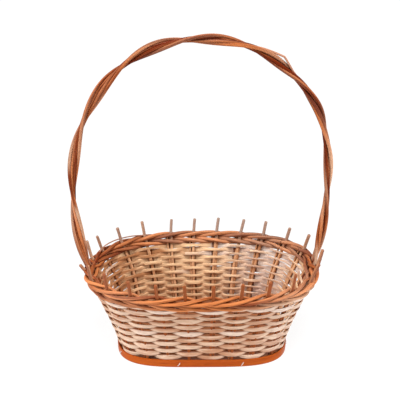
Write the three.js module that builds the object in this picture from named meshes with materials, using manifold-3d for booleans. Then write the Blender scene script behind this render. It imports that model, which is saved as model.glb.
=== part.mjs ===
// Wicker gift basket with a tall twisted handle.
// Millimetres, +Z up. The long side runs along X, the front faces -Y,
// and the origin is on the floor under the middle of the base board.
import * as THREE from 'three';
import { mergeVertices } from 'three/addons/utils/BufferGeometryUtils.js';
import Module from 'manifold-3d';

// Gap left between pieces that touch
const CLEARANCE = 0.3;

// Steps in which a curve's length is measured
const CURVE_STEPS = 720;

// Wall outline: outside of the band below and outside of the border above.
// A squareness of 2 is an ellipse, and a larger one is squarer.
const BASE_LENGTH = 245;
const BASE_DEPTH = 172;
const BASE_SQUARENESS = 3.4;
const RIM_LENGTH = 340;
const RIM_DEPTH = 223;
const RIM_SQUARENESS = 2.4;
const RIM_HEIGHT = 118;
const END_FLARE_POWER = 1.5;
const SIDE_FLARE_POWER = 2.6;
const WALL_BENDS = 4;

// Base board and the bent strip round it
const BOARD_THICKNESS = 9;
const BAND_HEIGHT = 11;
const BAND_THICKNESS = 2.2;
const BAND_SEAM = 0.6;
const BAND_FACETS_PER_STAKE = 3;
const NOTCH_SIDES = 5;

// Staples through the band, one in every third gap between stakes
const STAPLE_WIRE = 0.9;
const STAPLE_CROWN = 6.5;
const STAPLE_LEG = 7;
const STAPLE_SLANT = 0.6;
const GAPS_PER_STAPLE = 3;

// Stakes come in sixes, so that both the weave and the border close on themselves
const STAKE_SIXES = 4;
const STAKE_DIAMETER = 4;
const STAKE_STAND = 22;
const STAKE_STAND_SPREAD = 3;
const STAKE_TIP_LEAN = 0.45;
const STAKE_FOOT_RAISE = 1;
const FIRST_STAKE_FROM_END = 14.5;
const ROD_SIDES = 5;

// Weave rows of split willow
const ROW_COUNT = 16;
const ROW_GAP = 0.5;
const WEAVE_RAISE = 0.9;
const WEAVER_THICKNESS = 1.8;
const WEAVER_FLAT = 5;

// Border: two rounds of three rods
const BORDER_ROD = 4.8;
const BORDER_GAP = 0.3;
const BORDER_BULGE = 1.5;
const RODS_PER_ROUND = 3;
const BORDER_LEVELS = 4;

// Handle: four rods twisted into a ribbon
const HANDLE_ROD = 4;
const HANDLE_CROWN_HEIGHT = 433;
const HANDLE_SPREAD = 350;
const HANDLE_SPREAD_HEIGHT = 222;
const HANDLE_ROUNDNESS = 2.2;
const HANDLE_TURNS = 4.5;
const HANDLE_TURN_LAG = 0.022;
const HANDLE_TURN_SWAY = 0.018;
const HANDLE_LEG_SHARE = 0.15;
const HANDLE_STEP = 23;
const HANDLE_ROD_GAP = 0.43;
const HANDLE_ZIGZAG = 0.445;
const HANDLE_GATHER = 40;
const HANDLE_PUSH = 45;
const HANDLE_FROM_STAKE = 0.5;

const COLORS = {
  band: 0xc4682c,
  board: 0x8f4d24,
  staple: 0xd8d4cc,
  stake: 0xb9764a,
  weaver: 0xe3c3a0,
  border: 0xb8652f,
  handle: 0xa9562a,
};

const up = new THREE.Vector3(0, 0, 1);
const stakeCount = 6 * STAKE_SIXES;
const stakeRadius = STAKE_DIAMETER / 2;
const borderRadius = BORDER_ROD / 2;
const handleRadius = HANDLE_ROD / 2;
const borderStep = BORDER_ROD + BORDER_GAP;
const borderBottom = RIM_HEIGHT - BORDER_LEVELS * borderStep;
const weaveBottom = BAND_HEIGHT + WEAVE_RAISE;
const rowPitch = (borderBottom - weaveBottom) / ROW_COUNT;
const weaverWidth = rowPitch - ROW_GAP;
const weaverOffset = stakeRadius + CLEARANCE + WEAVER_THICKNESS / 2;
const borderOffset = stakeRadius + CLEARANCE + borderRadius;
const bandInner = stakeRadius + CLEARANCE;
const bandOuter = bandInner + BAND_THICKNESS;
const boardEdge = bandInner - CLEARANCE;
const borderOuter = borderOffset + borderRadius;
const tipHeight = RIM_HEIGHT + STAKE_STAND;

const wasm = await Module();
wasm.setup();
const basket = new THREE.Group();

// Superellipse at one height, counterclockwise from +X, in polar form
class Outline extends THREE.Curve {
  constructor(halfLength, halfDepth, squareness, height) {
    super();
    this.halfLength = halfLength;
    this.halfDepth = halfDepth;
    this.squareness = squareness;
    this.height = height;
    this.arcLengthDivisions = CURVE_STEPS;
  }

  getPoint(share, target = new THREE.Vector3()) {
    const angle = 2 * Math.PI * share;
    const along = Math.abs(Math.cos(angle) / this.halfLength) ** this.squareness;
    const across = Math.abs(Math.sin(angle) / this.halfDepth) ** this.squareness;
    const radius = (along + across) ** (-1 / this.squareness);
    return target.set(radius * Math.cos(angle), radius * Math.sin(angle), this.height);
  }
}

// How far the wall has opened at a height: 0 at the band, 1 at the rim, and steeper again above it
function flareAt(height, power) {
  const rise = (height - BAND_HEIGHT) / (RIM_HEIGHT - BAND_HEIGHT);
  if (rise <= 0) return 0;
  if (rise <= 1) return rise ** power;
  return 1 + power * STAKE_TIP_LEAN * (rise - 1);
}

// Outline of the stakes' centre lines at a height
function outlineAt(height) {
  const endFlare = flareAt(height, END_FLARE_POWER);
  const sideFlare = flareAt(height, SIDE_FLARE_POWER);
  const foot = { length: BASE_LENGTH / 2 - bandOuter, depth: BASE_DEPTH / 2 - bandOuter };
  const rim = { length: RIM_LENGTH / 2 - borderOuter, depth: RIM_DEPTH / 2 - borderOuter };
  return new Outline(
    THREE.MathUtils.lerp(foot.length, rim.length, endFlare),
    THREE.MathUtils.lerp(foot.depth, rim.depth, sideFlare),
    THREE.MathUtils.lerp(BASE_SQUARENESS, RIM_SQUARENESS, endFlare),
    height,
  );
}

// The wall is straight between these heights, where every stake bends a little
const wallHeights = [0];
for (let bend = 0; bend <= WALL_BENDS; bend += 1) {
  wallHeights.push(THREE.MathUtils.lerp(BAND_HEIGHT, RIM_HEIGHT, bend / WALL_BENDS));
}
wallHeights.push(tipHeight);
const wallOutlines = wallHeights.map(outlineAt);

function wallLevel(height) {
  const above = wallHeights.findIndex((level) => level > height);
  const upper = above < 0 ? wallHeights.length - 1 : Math.max(above, 1);
  const lower = upper - 1;
  const share = (height - wallHeights[lower]) / (wallHeights[upper] - wallHeights[lower]);
  return { lower: wallOutlines[lower], upper: wallOutlines[upper], share };
}

// Point on the middle of the wall, at a share of the way round and a height
function wallPoint(turn, height) {
  const share = turn - Math.floor(turn);
  const level = wallLevel(height);
  return level.lower.getPointAt(share).lerp(level.upper.getPointAt(share), level.share);
}

function wallLength(height) {
  const level = wallLevel(height);
  return THREE.MathUtils.lerp(level.lower.getLength(), level.upper.getLength(), level.share);
}

// Point on the wall with its directions round, up and out of it
function wallFrame(turn, height) {
  const reach = weaverWidth / 2;
  const shift = reach / wallLength(height);
  const place = wallPoint(turn, height);
  const along = wallPoint(turn + shift, height).sub(wallPoint(turn - shift, height)).normalize();
  const upward = wallPoint(turn, height + reach).sub(wallPoint(turn, height - reach)).normalize();
  const outward = along.clone().cross(upward).normalize();
  return { place, along, upward, outward };
}

function moved(frame, outward, upward = 0, along = 0) {
  return frame.place.clone()
    .addScaledVector(frame.outward, outward)
    .addScaledVector(frame.upward, upward)
    .addScaledVector(frame.along, along);
}

// Triangle mesh with its faces turned outwards
function outwardGeometry(positions, indices) {
  const geometry = new THREE.BufferGeometry();
  geometry.setAttribute('position', new THREE.Float32BufferAttribute(positions, 3));
  const corner = (index) => new THREE.Vector3().fromArray(positions, 3 * index);
  let volume = 0;
  for (let at = 0; at < indices.length; at += 3) {
    const [a, b, c] = indices.slice(at, at + 3).map(corner);
    volume += a.dot(b.cross(c));
  }
  geometry.setIndex(volume < 0 ? indices.toReversed() : indices);
  geometry.computeVertexNormals();
  return geometry;
}

// Skin over a row of rings, closed into a hoop or capped at both ends
function loft(rings, hoop) {
  const sides = rings[0].length;
  const indices = [];
  const spans = hoop ? rings.length : rings.length - 1;
  for (let ring = 0; ring < spans; ring += 1) {
    const here = ring * sides;
    const next = ((ring + 1) % rings.length) * sides;
    for (let side = 0; side < sides; side += 1) {
      const turn = (side + 1) % sides;
      indices.push(here + side, here + turn, next + turn);
      indices.push(here + side, next + turn, next + side);
    }
  }
  if (!hoop) {
    const last = (rings.length - 1) * sides;
    for (let side = 1; side < sides - 1; side += 1) {
      indices.push(0, side + 1, side);
      indices.push(last, last + side, last + side + 1);
    }
  }
  const positions = rings.flat().flatMap((point) => point.toArray());
  return outwardGeometry(positions, indices);
}

function circle(radius) {
  const turns = Array.from({ length: ROD_SIDES }, (unused, side) => 2 * Math.PI * side / ROD_SIDES);
  return turns.map((angle) => [radius * Math.cos(angle), radius * Math.sin(angle)]);
}

// Round rod along a row of points, its section carried along without twisting
function rodAlong(points, radius) {
  const rings = [];
  let side = up.clone().cross(points[1].clone().sub(points[0]));
  points.forEach((point, index) => {
    const before = points[Math.max(index - 1, 0)];
    const after = points[Math.min(index + 1, points.length - 1)];
    const ahead = after.clone().sub(before).normalize();
    side.addScaledVector(ahead, -side.dot(ahead)).normalize();
    const other = ahead.clone().cross(side);
    rings.push(circle(radius).map(([across, over]) => (
      point.clone().addScaledVector(side, across).addScaledVector(other, over)
    )));
  });
  return loft(rings, false);
}

// Conversions for cutting holes
function toSolid(geometry) {
  const bare = geometry.clone();
  bare.deleteAttribute('normal');
  bare.deleteAttribute('uv');
  const merged = mergeVertices(bare);
  return new wasm.Manifold(new wasm.Mesh({
    numProp: 3,
    vertProperties: new Float32Array(merged.attributes.position.array),
    triVerts: new Uint32Array(merged.index.array),
  }));
}

function toGeometry(solid) {
  const mesh = solid.getMesh();
  const geometry = new THREE.BufferGeometry();
  geometry.setAttribute('position', new THREE.Float32BufferAttribute(mesh.vertProperties, 3));
  geometry.setIndex(Array.from(mesh.triVerts));
  geometry.computeVertexNormals();
  return geometry;
}

function addPiece(name, geometry, color, roughness = 0.6, metalness = 0) {
  const mesh = new THREE.Mesh(geometry, new THREE.MeshStandardMaterial({ color, roughness, metalness }));
  mesh.name = name;
  basket.add(mesh);
  return mesh;
}

function numbered(name, index) {
  return `${name}_${String(index + 1).padStart(2, '0')}`;
}

// Stakes stand evenly round the wall; the first is a little behind the +X end
const firstStake = FIRST_STAKE_FROM_END / wallLength(RIM_HEIGHT);

function stakeTurn(stake) {
  return firstStake + stake / stakeCount;
}

function addStakes() {
  for (let stake = 0; stake < stakeCount; stake += 1) {
    const turn = stakeTurn(stake);
    const handCut = STAKE_STAND_SPREAD / 2 * Math.sin(stake * stake);
    const bends = wallHeights.slice(1, -1);
    const rings = [STAKE_FOOT_RAISE, ...bends, tipHeight + handCut].map((height) => {
      const frame = wallFrame(turn, height);
      return circle(stakeRadius).map(([out, side]) => moved(frame, out, 0, side));
    });
    addPiece(numbered('stake', stake), loft(rings, false), COLORS.stake);
  }
}

// Places of the four handle rods in their ribbon, counted in rods across it and through it
const HANDLE_SECTION = [
  { wide: 1.5, thick: 0 },
  { wide: -1.5, thick: 0 },
  { wide: -0.5, thick: 1 },
  { wide: 0.5, thick: -1 },
];

// Handle feet stand in a row beside the two end stakes, on the side towards the long axis
const handlePair = HANDLE_ROD + HANDLE_ROD_GAP;
const footHalf = HANDLE_SECTION[0].wide * handlePair + handleRadius;
const footFromStake = stakeRadius + HANDLE_FROM_STAKE + footHalf;
const footReach = footFromStake + footHalf + CLEARANCE;

function isEndStake(stake) {
  return stake % (stakeCount / 2) === 0;
}

// Distances from a stake at which a weaver or border rod has points
function stopsAt(stake, height, flat) {
  const besideHandle = isEndStake(stake) && height > RIM_HEIGHT - HANDLE_PUSH - rowPitch;
  const ahead = flat > 0 ? [flat] : [];
  if (besideHandle) return [-footReach - CLEARANCE, -footFromStake, 0, ...ahead];
  return flat > 0 ? [-flat, flat] : [0];
}

// Weave row: outside one stake and inside the next, the rows taking turns
function weaverRings(row) {
  const height = weaveBottom + (row + 0.5) * rowPitch;
  const length = wallLength(height);
  const rings = [];
  for (let stake = 0; stake < stakeCount; stake += 1) {
    const side = (row + stake) % 2 === 0 ? 1 : -1;
    const stops = stopsAt(stake, height, WEAVER_FLAT);
    const frames = stops.map((stop) => wallFrame(stakeTurn(stake) + stop / length, height));
    const middle = wallFrame(stakeTurn(stake), height);
    const chord = frames[0].place.clone().add(frames.at(-1).place).multiplyScalar(0.5);
    const bow = frames.length === 2 ? middle.place.clone().sub(chord).dot(middle.outward) : 0;
    frames.forEach((frame) => {
      const out = side * weaverOffset + bow;
      const half = WEAVER_THICKNESS / 2;
      const corners = [[half, 1], [-half, 1], [-half, -1], [half, -1]];
      rings.push(corners.map(([depth, edge]) => moved(frame, out + depth, edge * weaverWidth / 2)));
    });
  }
  return rings;
}

function addWeave() {
  for (let row = 0; row < ROW_COUNT; row += 1) {
    addPiece(numbered('weave_row', row), loft(weaverRings(row), true), COLORS.weaver);
  }
}

// Border rod: outside two stakes and inside one, changing level as it goes.
// In the upper round it climbs outside the wall, and in the lower round it drops there.
function borderRings(round, rod) {
  const top = RIM_HEIGHT - borderRadius;
  const upper = round === 'upper';
  const entry = upper ? top - borderStep : top - 2 * borderStep;
  const exit = upper ? top : top - 3 * borderStep;
  const between = (entry + exit) / 2;
  const atStake = [[borderOffset, entry], [borderOffset, exit], [-borderOffset, between]];
  const inGap = [[borderOffset + BORDER_BULGE, between], [0, exit], [0, entry]];
  const length = wallLength(between);
  const rings = [];
  const addRing = (turn, [out, height]) => {
    const frame = wallFrame(turn, height);
    rings.push(circle(borderRadius).map(([depth, edge]) => moved(frame, out + depth, edge)));
  };
  for (let stake = 0; stake < stakeCount; stake += 1) {
    const phase = (stake + rod) % RODS_PER_ROUND;
    const turns = (index) => stopsAt(index % stakeCount, top, 0)
      .map((stop) => stakeTurn(index) + stop / length);
    const here = turns(stake);
    here.forEach((turn) => addRing(turn, atStake[phase]));
    addRing((here.at(-1) + turns(stake + 1)[0]) / 2, inGap[phase]);
  }
  return rings;
}

function addBorder() {
  for (const round of ['lower', 'upper']) {
    for (let rod = 0; rod < RODS_PER_ROUND; rod += 1) {
      addPiece(`border_${round}_${rod + 1}`, loft(borderRings(round, rod), true), COLORS.border);
    }
  }
}

// Places round the base where the board and the band have corners
function baseTurns() {
  const facets = stakeCount * BAND_FACETS_PER_STAKE;
  return Array.from({ length: facets }, (unused, facet) => firstStake + facet / facets);
}

// Staple bent from wire, with its crown along X and its legs towards -Y
function stapleGeometry() {
  const outer = STAPLE_CROWN / 2;
  const inner = outer - STAPLE_WIRE;
  const shape = new THREE.Shape([
    new THREE.Vector2(-outer, STAPLE_WIRE),
    new THREE.Vector2(-outer, -STAPLE_LEG),
    new THREE.Vector2(-inner, -STAPLE_LEG),
    new THREE.Vector2(-inner, 0),
    new THREE.Vector2(inner, 0),
    new THREE.Vector2(inner, -STAPLE_LEG),
    new THREE.Vector2(outer, -STAPLE_LEG),
    new THREE.Vector2(outer, STAPLE_WIRE),
  ]);
  const geometry = new THREE.ExtrudeGeometry(shape, { depth: STAPLE_WIRE, bevelEnabled: false });
  return geometry.translate(0, 0, -STAPLE_WIRE / 2);
}

// Square holes for a staple's two legs
function stapleHoles() {
  const width = STAPLE_WIRE + 2 * CLEARANCE;
  const depth = STAPLE_LEG + CLEARANCE;
  const apart = (STAPLE_CROWN - STAPLE_WIRE) / 2;
  return [-apart, apart].map((along) => (
    new THREE.BoxGeometry(width, 2 * depth, width).translate(along, 0, 0)
  ));
}

// Where each staple sits: middle of the gap after its stake, on the band's outer face
function staplePlaces() {
  const places = [];
  const height = BOARD_THICKNESS / 2;
  for (let stake = 1; stake < stakeCount; stake += GAPS_PER_STAPLE) {
    const nearest = Math.floor(BAND_FACETS_PER_STAKE / 2) / BAND_FACETS_PER_STAKE;
    const ends = [nearest, 1 - nearest].map((share) => wallFrame(stakeTurn(stake + share), height));
    const [start, end] = ends.map((frame) => moved(frame, bandOuter));
    const along = end.clone().sub(start).normalize();
    const outward = along.clone().cross(up);
    const crown = up.clone().multiplyScalar(Math.cos(STAPLE_SLANT));
    crown.addScaledVector(along, Math.sin(STAPLE_SLANT));
    const across = crown.clone().cross(outward);
    const place = start.add(end).multiplyScalar(0.5).addScaledVector(outward, CLEARANCE);
    places.push(new THREE.Matrix4().makeBasis(crown, outward, across).setPosition(place));
  }
  return places;
}

function cutAll(geometry, cutters) {
  let solid = toSolid(geometry);
  cutters.forEach((cutter) => {
    solid = solid.subtract(toSolid(cutter));
  });
  return toGeometry(solid);
}

// Board with a notch for every stake and holes for the staples
function addBoard(staples) {
  const corners = baseTurns().map((turn) => moved(wallFrame(turn, 0), boardEdge));
  const shape = new THREE.Shape(corners.map((corner) => new THREE.Vector2(corner.x, corner.y)));
  const board = new THREE.ExtrudeGeometry(shape, { depth: BOARD_THICKNESS, bevelEnabled: false });
  const notches = Array.from({ length: stakeCount }, (unused, stake) => {
    const through = 3 * BOARD_THICKNESS;
    const radius = (stakeRadius + CLEARANCE) / Math.cos(Math.PI / NOTCH_SIDES);
    const notch = new THREE.CylinderGeometry(radius, radius, through, NOTCH_SIDES);
    const foot = wallPoint(stakeTurn(stake), 0);
    return notch.rotateX(Math.PI / 2).translate(foot.x, foot.y, 0);
  });
  addPiece('base_board', cutAll(board, [...notches, ...staples]), COLORS.board, 0.7);
}

// Strip bent round the board, its ends butted at the back between two stakes
function addBand(staples) {
  const seamStake = stakeCount / 4;
  const seam = stakeTurn(seamStake + 0.5);
  const halfSeam = BAND_SEAM / 2 / wallLength(0);
  const facets = stakeCount * BAND_FACETS_PER_STAKE;
  const corners = Array.from({ length: facets }, (unused, facet) => (
    stakeTurn(seamStake) + (facet + BAND_FACETS_PER_STAKE - 1) / facets
  ));
  const turns = [seam + halfSeam, ...corners, seam + 1 - halfSeam];
  const rings = turns.map((turn) => {
    const frame = wallFrame(turn, 0);
    const section = [[bandInner, 0], [bandOuter, 0], [bandOuter, BAND_HEIGHT], [bandInner, BAND_HEIGHT]];
    return section.map(([out, height]) => moved(frame, out).addScaledVector(up, height));
  });
  addPiece('base_band', cutAll(loft(rings, false), staples), COLORS.band, 0.45);
}

function addBase() {
  const places = staplePlaces();
  const holes = places.flatMap((place) => stapleHoles().map((hole) => hole.applyMatrix4(place)));
  addBoard(holes);
  addBand(holes);
  places.forEach((place, index) => {
    const staple = addPiece(numbered('band_staple', index), stapleGeometry(), COLORS.staple, 0.35, 0.9);
    staple.applyMatrix4(place);
  });
}

// Upright plane that holds the handle, through the middles of its two feet
const footMiddle = wallPoint(stakeTurn(0) - footFromStake / wallLength(RIM_HEIGHT), RIM_HEIGHT);
const handleRight = new THREE.Vector3(footMiddle.x, footMiddle.y, 0).normalize();
const handleFront = up.clone().cross(handleRight).negate();

// Centre line of the handle, from the left foot over the crown to the right foot:
// legs that bow outwards, then a superellipse
class HandleLine extends THREE.Curve {
  constructor() {
    super();
    this.arcLengthDivisions = CURVE_STEPS;
  }

  getPoint(share, target = new THREE.Vector3()) {
    const side = share < 0.5 ? -1 : 1;
    const fromFoot = Math.min(share, 1 - share);
    const half = HANDLE_SPREAD / 2;
    let reach;
    let height;
    if (fromFoot < HANDLE_LEG_SHARE) {
      const below = 1 - fromFoot / HANDLE_LEG_SHARE;
      const footReachOut = Math.hypot(footMiddle.x, footMiddle.y);
      reach = half - (half - footReachOut) * below ** 2;
      height = THREE.MathUtils.lerp(HANDLE_SPREAD_HEIGHT, RIM_HEIGHT, below);
    } else {
      const angle = (fromFoot - HANDLE_LEG_SHARE) / (0.5 - HANDLE_LEG_SHARE) * Math.PI / 2;
      const rise = HANDLE_CROWN_HEIGHT - HANDLE_SPREAD_HEIGHT;
      const across = (Math.cos(angle) / half) ** HANDLE_ROUNDNESS;
      const over = (Math.sin(angle) / rise) ** HANDLE_ROUNDNESS;
      const radius = (Math.max(across, 0) + over) ** (-1 / HANDLE_ROUNDNESS);
      reach = radius * Math.cos(angle);
      height = HANDLE_SPREAD_HEIGHT + radius * Math.sin(angle);
    }
    return target.copy(handleRight).multiplyScalar(side * reach).setZ(height);
  }
}

// Points of one rod's foot, lowest first: in the middle of the wall, between its weavers
function footPoints(rod, stake) {
  const fromStake = HANDLE_SECTION[rod].wide * handlePair - footFromStake;
  const lowest = RIM_HEIGHT - HANDLE_PUSH;
  const bends = wallHeights.filter((height) => height > lowest && height <= RIM_HEIGHT);
  return [lowest, ...bends].map((height) => (
    wallPoint(stakeTurn(stake) + fromStake / wallLength(height), height)
  ));
}

// Points of one rod over the handle. The ribbon leaves each foot edge-on to the front and turns
// round the centre line, and above the feet its rods gather from a row into a zigzag.
function twistPoints(rod, line) {
  const length = line.getLength();
  const steps = Math.round(length / HANDLE_STEP);
  const { wide, thick } = HANDLE_SECTION[rod];
  return Array.from({ length: steps - 1 }, (unused, step) => {
    const share = (step + 1) / steps;
    const lag = HANDLE_TURN_LAG * Math.sin(Math.PI * share);
    const sway = HANDLE_TURN_SWAY * Math.sin(2 * Math.PI * share);
    const angle = Math.PI / 2 - 2 * Math.PI * HANDLE_TURNS * (share - lag - sway);
    const fromFoot = length * Math.min(share, 1 - share);
    const slant = HANDLE_ZIGZAG * THREE.MathUtils.smoothstep(fromFoot, 0, HANDLE_GATHER);
    const across = wide * handlePair * Math.cos(slant);
    const through = thick * handlePair * Math.sin(slant);
    const outward = handleFront.clone().cross(line.getTangentAt(share));
    return line.getPointAt(share)
      .addScaledVector(outward, across * Math.cos(angle) - through * Math.sin(angle))
      .addScaledVector(handleFront, across * Math.sin(angle) + through * Math.cos(angle));
  });
}

function addHandle() {
  const line = new HandleLine();
  HANDLE_SECTION.forEach((unused, rod) => {
    const left = footPoints(rod, stakeCount / 2);
    const right = footPoints(rod, 0).reverse();
    const points = [...left, ...twistPoints(rod, line), ...right];
    addPiece(`handle_rod_${rod + 1}`, rodAlong(points, handleRadius), COLORS.handle);
  });
}

addBase();
addStakes();
addWeave();
addBorder();
addHandle();

export default basket;
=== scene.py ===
"""Looks of a wicker gift basket with a tall twisted handle, built round its CAD frame.

Everything is in metres in the frame's own axes: +Z up, the long side along X, the front towards -Y.
"""

import math

import bpy
import numpy as np
from bpy.props import FloatProperty, FloatVectorProperty, IntProperty, PointerProperty
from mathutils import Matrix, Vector


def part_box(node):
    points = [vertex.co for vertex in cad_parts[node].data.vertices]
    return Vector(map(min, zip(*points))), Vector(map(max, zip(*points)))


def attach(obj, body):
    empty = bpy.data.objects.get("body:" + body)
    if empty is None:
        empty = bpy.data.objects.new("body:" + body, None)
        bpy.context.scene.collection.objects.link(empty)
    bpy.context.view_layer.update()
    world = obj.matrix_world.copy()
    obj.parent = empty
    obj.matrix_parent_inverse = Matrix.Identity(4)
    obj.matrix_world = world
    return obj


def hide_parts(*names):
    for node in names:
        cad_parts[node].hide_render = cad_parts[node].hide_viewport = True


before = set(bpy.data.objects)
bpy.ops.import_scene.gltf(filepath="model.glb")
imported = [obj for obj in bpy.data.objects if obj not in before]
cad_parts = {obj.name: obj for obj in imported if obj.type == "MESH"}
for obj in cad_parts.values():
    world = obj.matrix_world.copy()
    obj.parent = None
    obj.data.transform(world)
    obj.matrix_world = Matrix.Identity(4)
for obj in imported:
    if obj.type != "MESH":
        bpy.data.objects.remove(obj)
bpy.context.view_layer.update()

bl_info = {
    "name": "Wicker Gift Basket",
    "version": (1, 0, 0),
    "blender": (4, 5, 0),
    "location": "3D View > Sidebar > Basket",
    "description": "Weaves a willow basket with a twisted handle over its CAD frame",
    "category": "Add Mesh",
}

MILLIMETRE = 0.001
BODY = "root"
STAKE_COUNT = sum(node.startswith("stake_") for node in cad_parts)
ROW_COUNT = sum(node.startswith("weave_row_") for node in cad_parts)
STAPLE_COUNT = sum(node.startswith("band_staple_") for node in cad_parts)
BAND_LOW, BAND_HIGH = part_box("base_band")
BOARD_LOW, BOARD_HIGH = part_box("base_board")
BORDER_ROUNDS = ("lower", "upper")
RODS_PER_ROUND = 3
# Places of the rods in the handle's ribbon: across it and through it, counted in rods.
HANDLE_PLACES = ((1.5, 0.0), (-1.5, 0.0), (-0.5, 1.0), (0.5, -1.0))
UPRIGHT = np.array([0.0, 0.0, 1.0])
ROD_STEP = 1.6 * MILLIMETRE
ROD_BEVEL = 0.6 * MILLIMETRE
CREASE = math.radians(50.0)
LOOSE_DRYNESS = 0.5

# Sizes, colours and stage.


def length(name, description, millimetres):
    """Length property with its default in millimetres."""
    return FloatProperty(
        name=name,
        description=description,
        default=millimetres * MILLIMETRE,
        min=0.0,
        precision=5,
        subtype="DISTANCE",
        unit="LENGTH",
    )


def plain(name, description, default):
    """Number property with no unit."""
    return FloatProperty(name=name, description=description, default=default, precision=4)


def colour(name, description, red, green, blue):
    """Colour property in linear red, green and blue."""
    return FloatVectorProperty(
        name=name,
        description=description,
        default=(red, green, blue),
        min=0.0,
        max=1.0,
        subtype="COLOR",
    )


class BasketSizes(bpy.types.PropertyGroup):
    """Sizes of the basket as in the CAD model, and how the shown rods and splits differ from it."""

    base_length: length("Base Length", "Length over the band", (BAND_HIGH.x - BAND_LOW.x) / MILLIMETRE)
    base_depth: length("Base Depth", "Depth over the band", (BAND_HIGH.y - BAND_LOW.y) / MILLIMETRE)
    base_squareness: plain("Base Squareness", "Exponent of the shown base outline, 2 is an ellipse", 3.8)
    rim_length: length("Rim Length", "Length over the border", 340)
    rim_depth: length("Rim Depth", "Depth over the border", 223)
    rim_squareness: plain("Rim Squareness", "Exponent of the outline at the rim, 2 is an ellipse", 2.4)
    rim_height: length("Rim Height", "Height of the border's top", 118)
    end_flare: plain("End Flare", "How late the ends of the shown wall open on their way up", 1.25)
    side_flare: plain("Side Flare", "How late the long sides of the wall open on their way up", 2.6)
    tip_lean: plain("Tip Lean", "Share of the wall's slope that the stake tips keep", 0.45)
    clearance: length("Clearance", "Gap between pieces that touch", 0.3)

    board_thickness: length("Board Thickness", "Base board", (BOARD_HIGH.z - BOARD_LOW.z) / MILLIMETRE)
    band_height: length("Band Height", "Strip round the board", (BAND_HIGH.z - BAND_LOW.z) / MILLIMETRE)
    band_thickness: length("Band Thickness", "Strip round the board", 2.2)
    band_seam: length("Band Seam", "Gap between the strip's ends", 0.6)
    staple_wire: length("Staple Wire", "Thickness of the wire", 0.9)
    staple_crown: length("Staple Crown", "Length of the crown", 6.5)
    staple_leg: length("Staple Leg", "Length of a leg", 7)
    staple_slant: plain("Staple Slant", "Angle between the crown and the upright", 0.6)

    stake_diameter: length("Stake Diameter", "Upright rods, as the CAD model has them", 4)
    stake_swell: plain("Stake Swell", "Thickness of the shown stakes against the CAD rods", 1.18)
    stake_foot: length("Stake Foot", "Height of the stakes' lower ends", 1)
    first_stake: length("First Stake", "Distance of the first stake from the +X end", 14.5)
    by_stake: length("By-stake", "Diameter of the thin rods beside some stakes", 2.9)

    weaver_thickness: length("Weaver Thickness", "Split willow, as the CAD model has it", 1.8)
    weave_raise: length("Weave Raise", "Height of the shown weave above the band", 0.2)
    weaver_flat: length("Weaver Flat", "Half of the stretch that lies flat on a stake", 4.5)
    weaver_offset: length("Weaver Offset", "Distance of a split on a stake from the wall's middle", 2.1)
    outer_width: plain("Outer Width", "Width of a split outside a stake, in rows", 1.21)
    outer_spread: plain("Outer Spread", "How much wider the splits lie outside at the back", 1.34)
    inner_width: plain("Inner Width", "Width of a split inside a stake, in rows", 0.86)
    float_drop: length("Float Drop", "How much lower the outer floats lie at the back", 1.5)

    border_rod: length("Border Rod", "Diameter of the rods in the border, as the CAD model has them", 4.8)
    border_swell: plain("Border Swell", "Thickness of the shown rods at the front against the CAD", 0.96)
    border_fill: plain("Border Fill", "Thickness of the shown rods at the back against the CAD", 1.18)
    border_gap: length("Border Gap", "Gap between the border's levels", 0.3)
    border_press: plain("Border Press", "Distance of the shown border levels against the CAD levels", 0.85)
    border_split: length("Border Split", "How much lower the shown lower round lies at the front", 1.2)
    border_bulge: length("Border Bulge", "How far a rod stands off between two stakes", 1.5)
    border_levels: IntProperty(name="Border Levels", description="Rods above each other", default=4, min=1)

    handle_rod: length("Handle Rod", "Diameter of the rods in the handle, as the CAD model has them", 4)
    handle_swell: plain("Handle Swell", "Thickness of the shown handle rods against the CAD rods", 1.16)
    handle_rod_gap: length("Handle Rod Gap", "Gap between the rods", 0.43)
    handle_zigzag: plain("Handle Zigzag", "Angle between neighbouring rods in the ribbon", 0.445)
    handle_crown: length("Handle Crown", "Height of the middle of the ribbon at its top", 433)
    handle_spread: length("Handle Spread", "Widest distance between the two sides", 350)
    handle_left_height: length("Handle Left Height", "Height of the widest place on the left", 216)
    handle_right_height: length("Handle Right Height", "Height of the widest place on the right", 240)
    handle_shift: length("Handle Shift", "How far the shown arch stands to the left", 1.5)
    handle_roundness: plain("Handle Roundness", "Exponent of the arch's left, 2 is an ellipse", 2.14)
    handle_fullness: plain("Handle Fullness", "Exponent of the arch's right, 2 is an ellipse", 2.16)
    handle_narrow: plain("Handle Narrow", "Width of the rods' middle lines against the CAD", 0.93)
    handle_thin: plain("Handle Thin", "Depth of the rods' middle lines against the CAD", 0.6)
    handle_slim: plain("Handle Slim", "Width of the ribbon's right side against its left", 0.78)
    handle_deep: plain("Handle Deep", "Depth of the ribbon's right side against its left", 1.5)
    handle_turns: plain("Handle Turns", "Whole turns of the ribbon", 4.5)
    handle_turn_lag: plain("Handle Turn Lag", "How much later the turns come at the crown", 0.022)
    handle_turn_sway: plain("Handle Turn Sway", "Later turns on the left, sooner ones on the right", 0.018)
    handle_gather: length("Handle Gather", "Stretch above the rim where the rods gather into a zigzag", 40)
    handle_push: length("Handle Push", "How deep the rods go into the wall", 45)
    handle_from_stake: length("Handle From Stake", "Gap between the handle and the end stake", 0.5)


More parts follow.
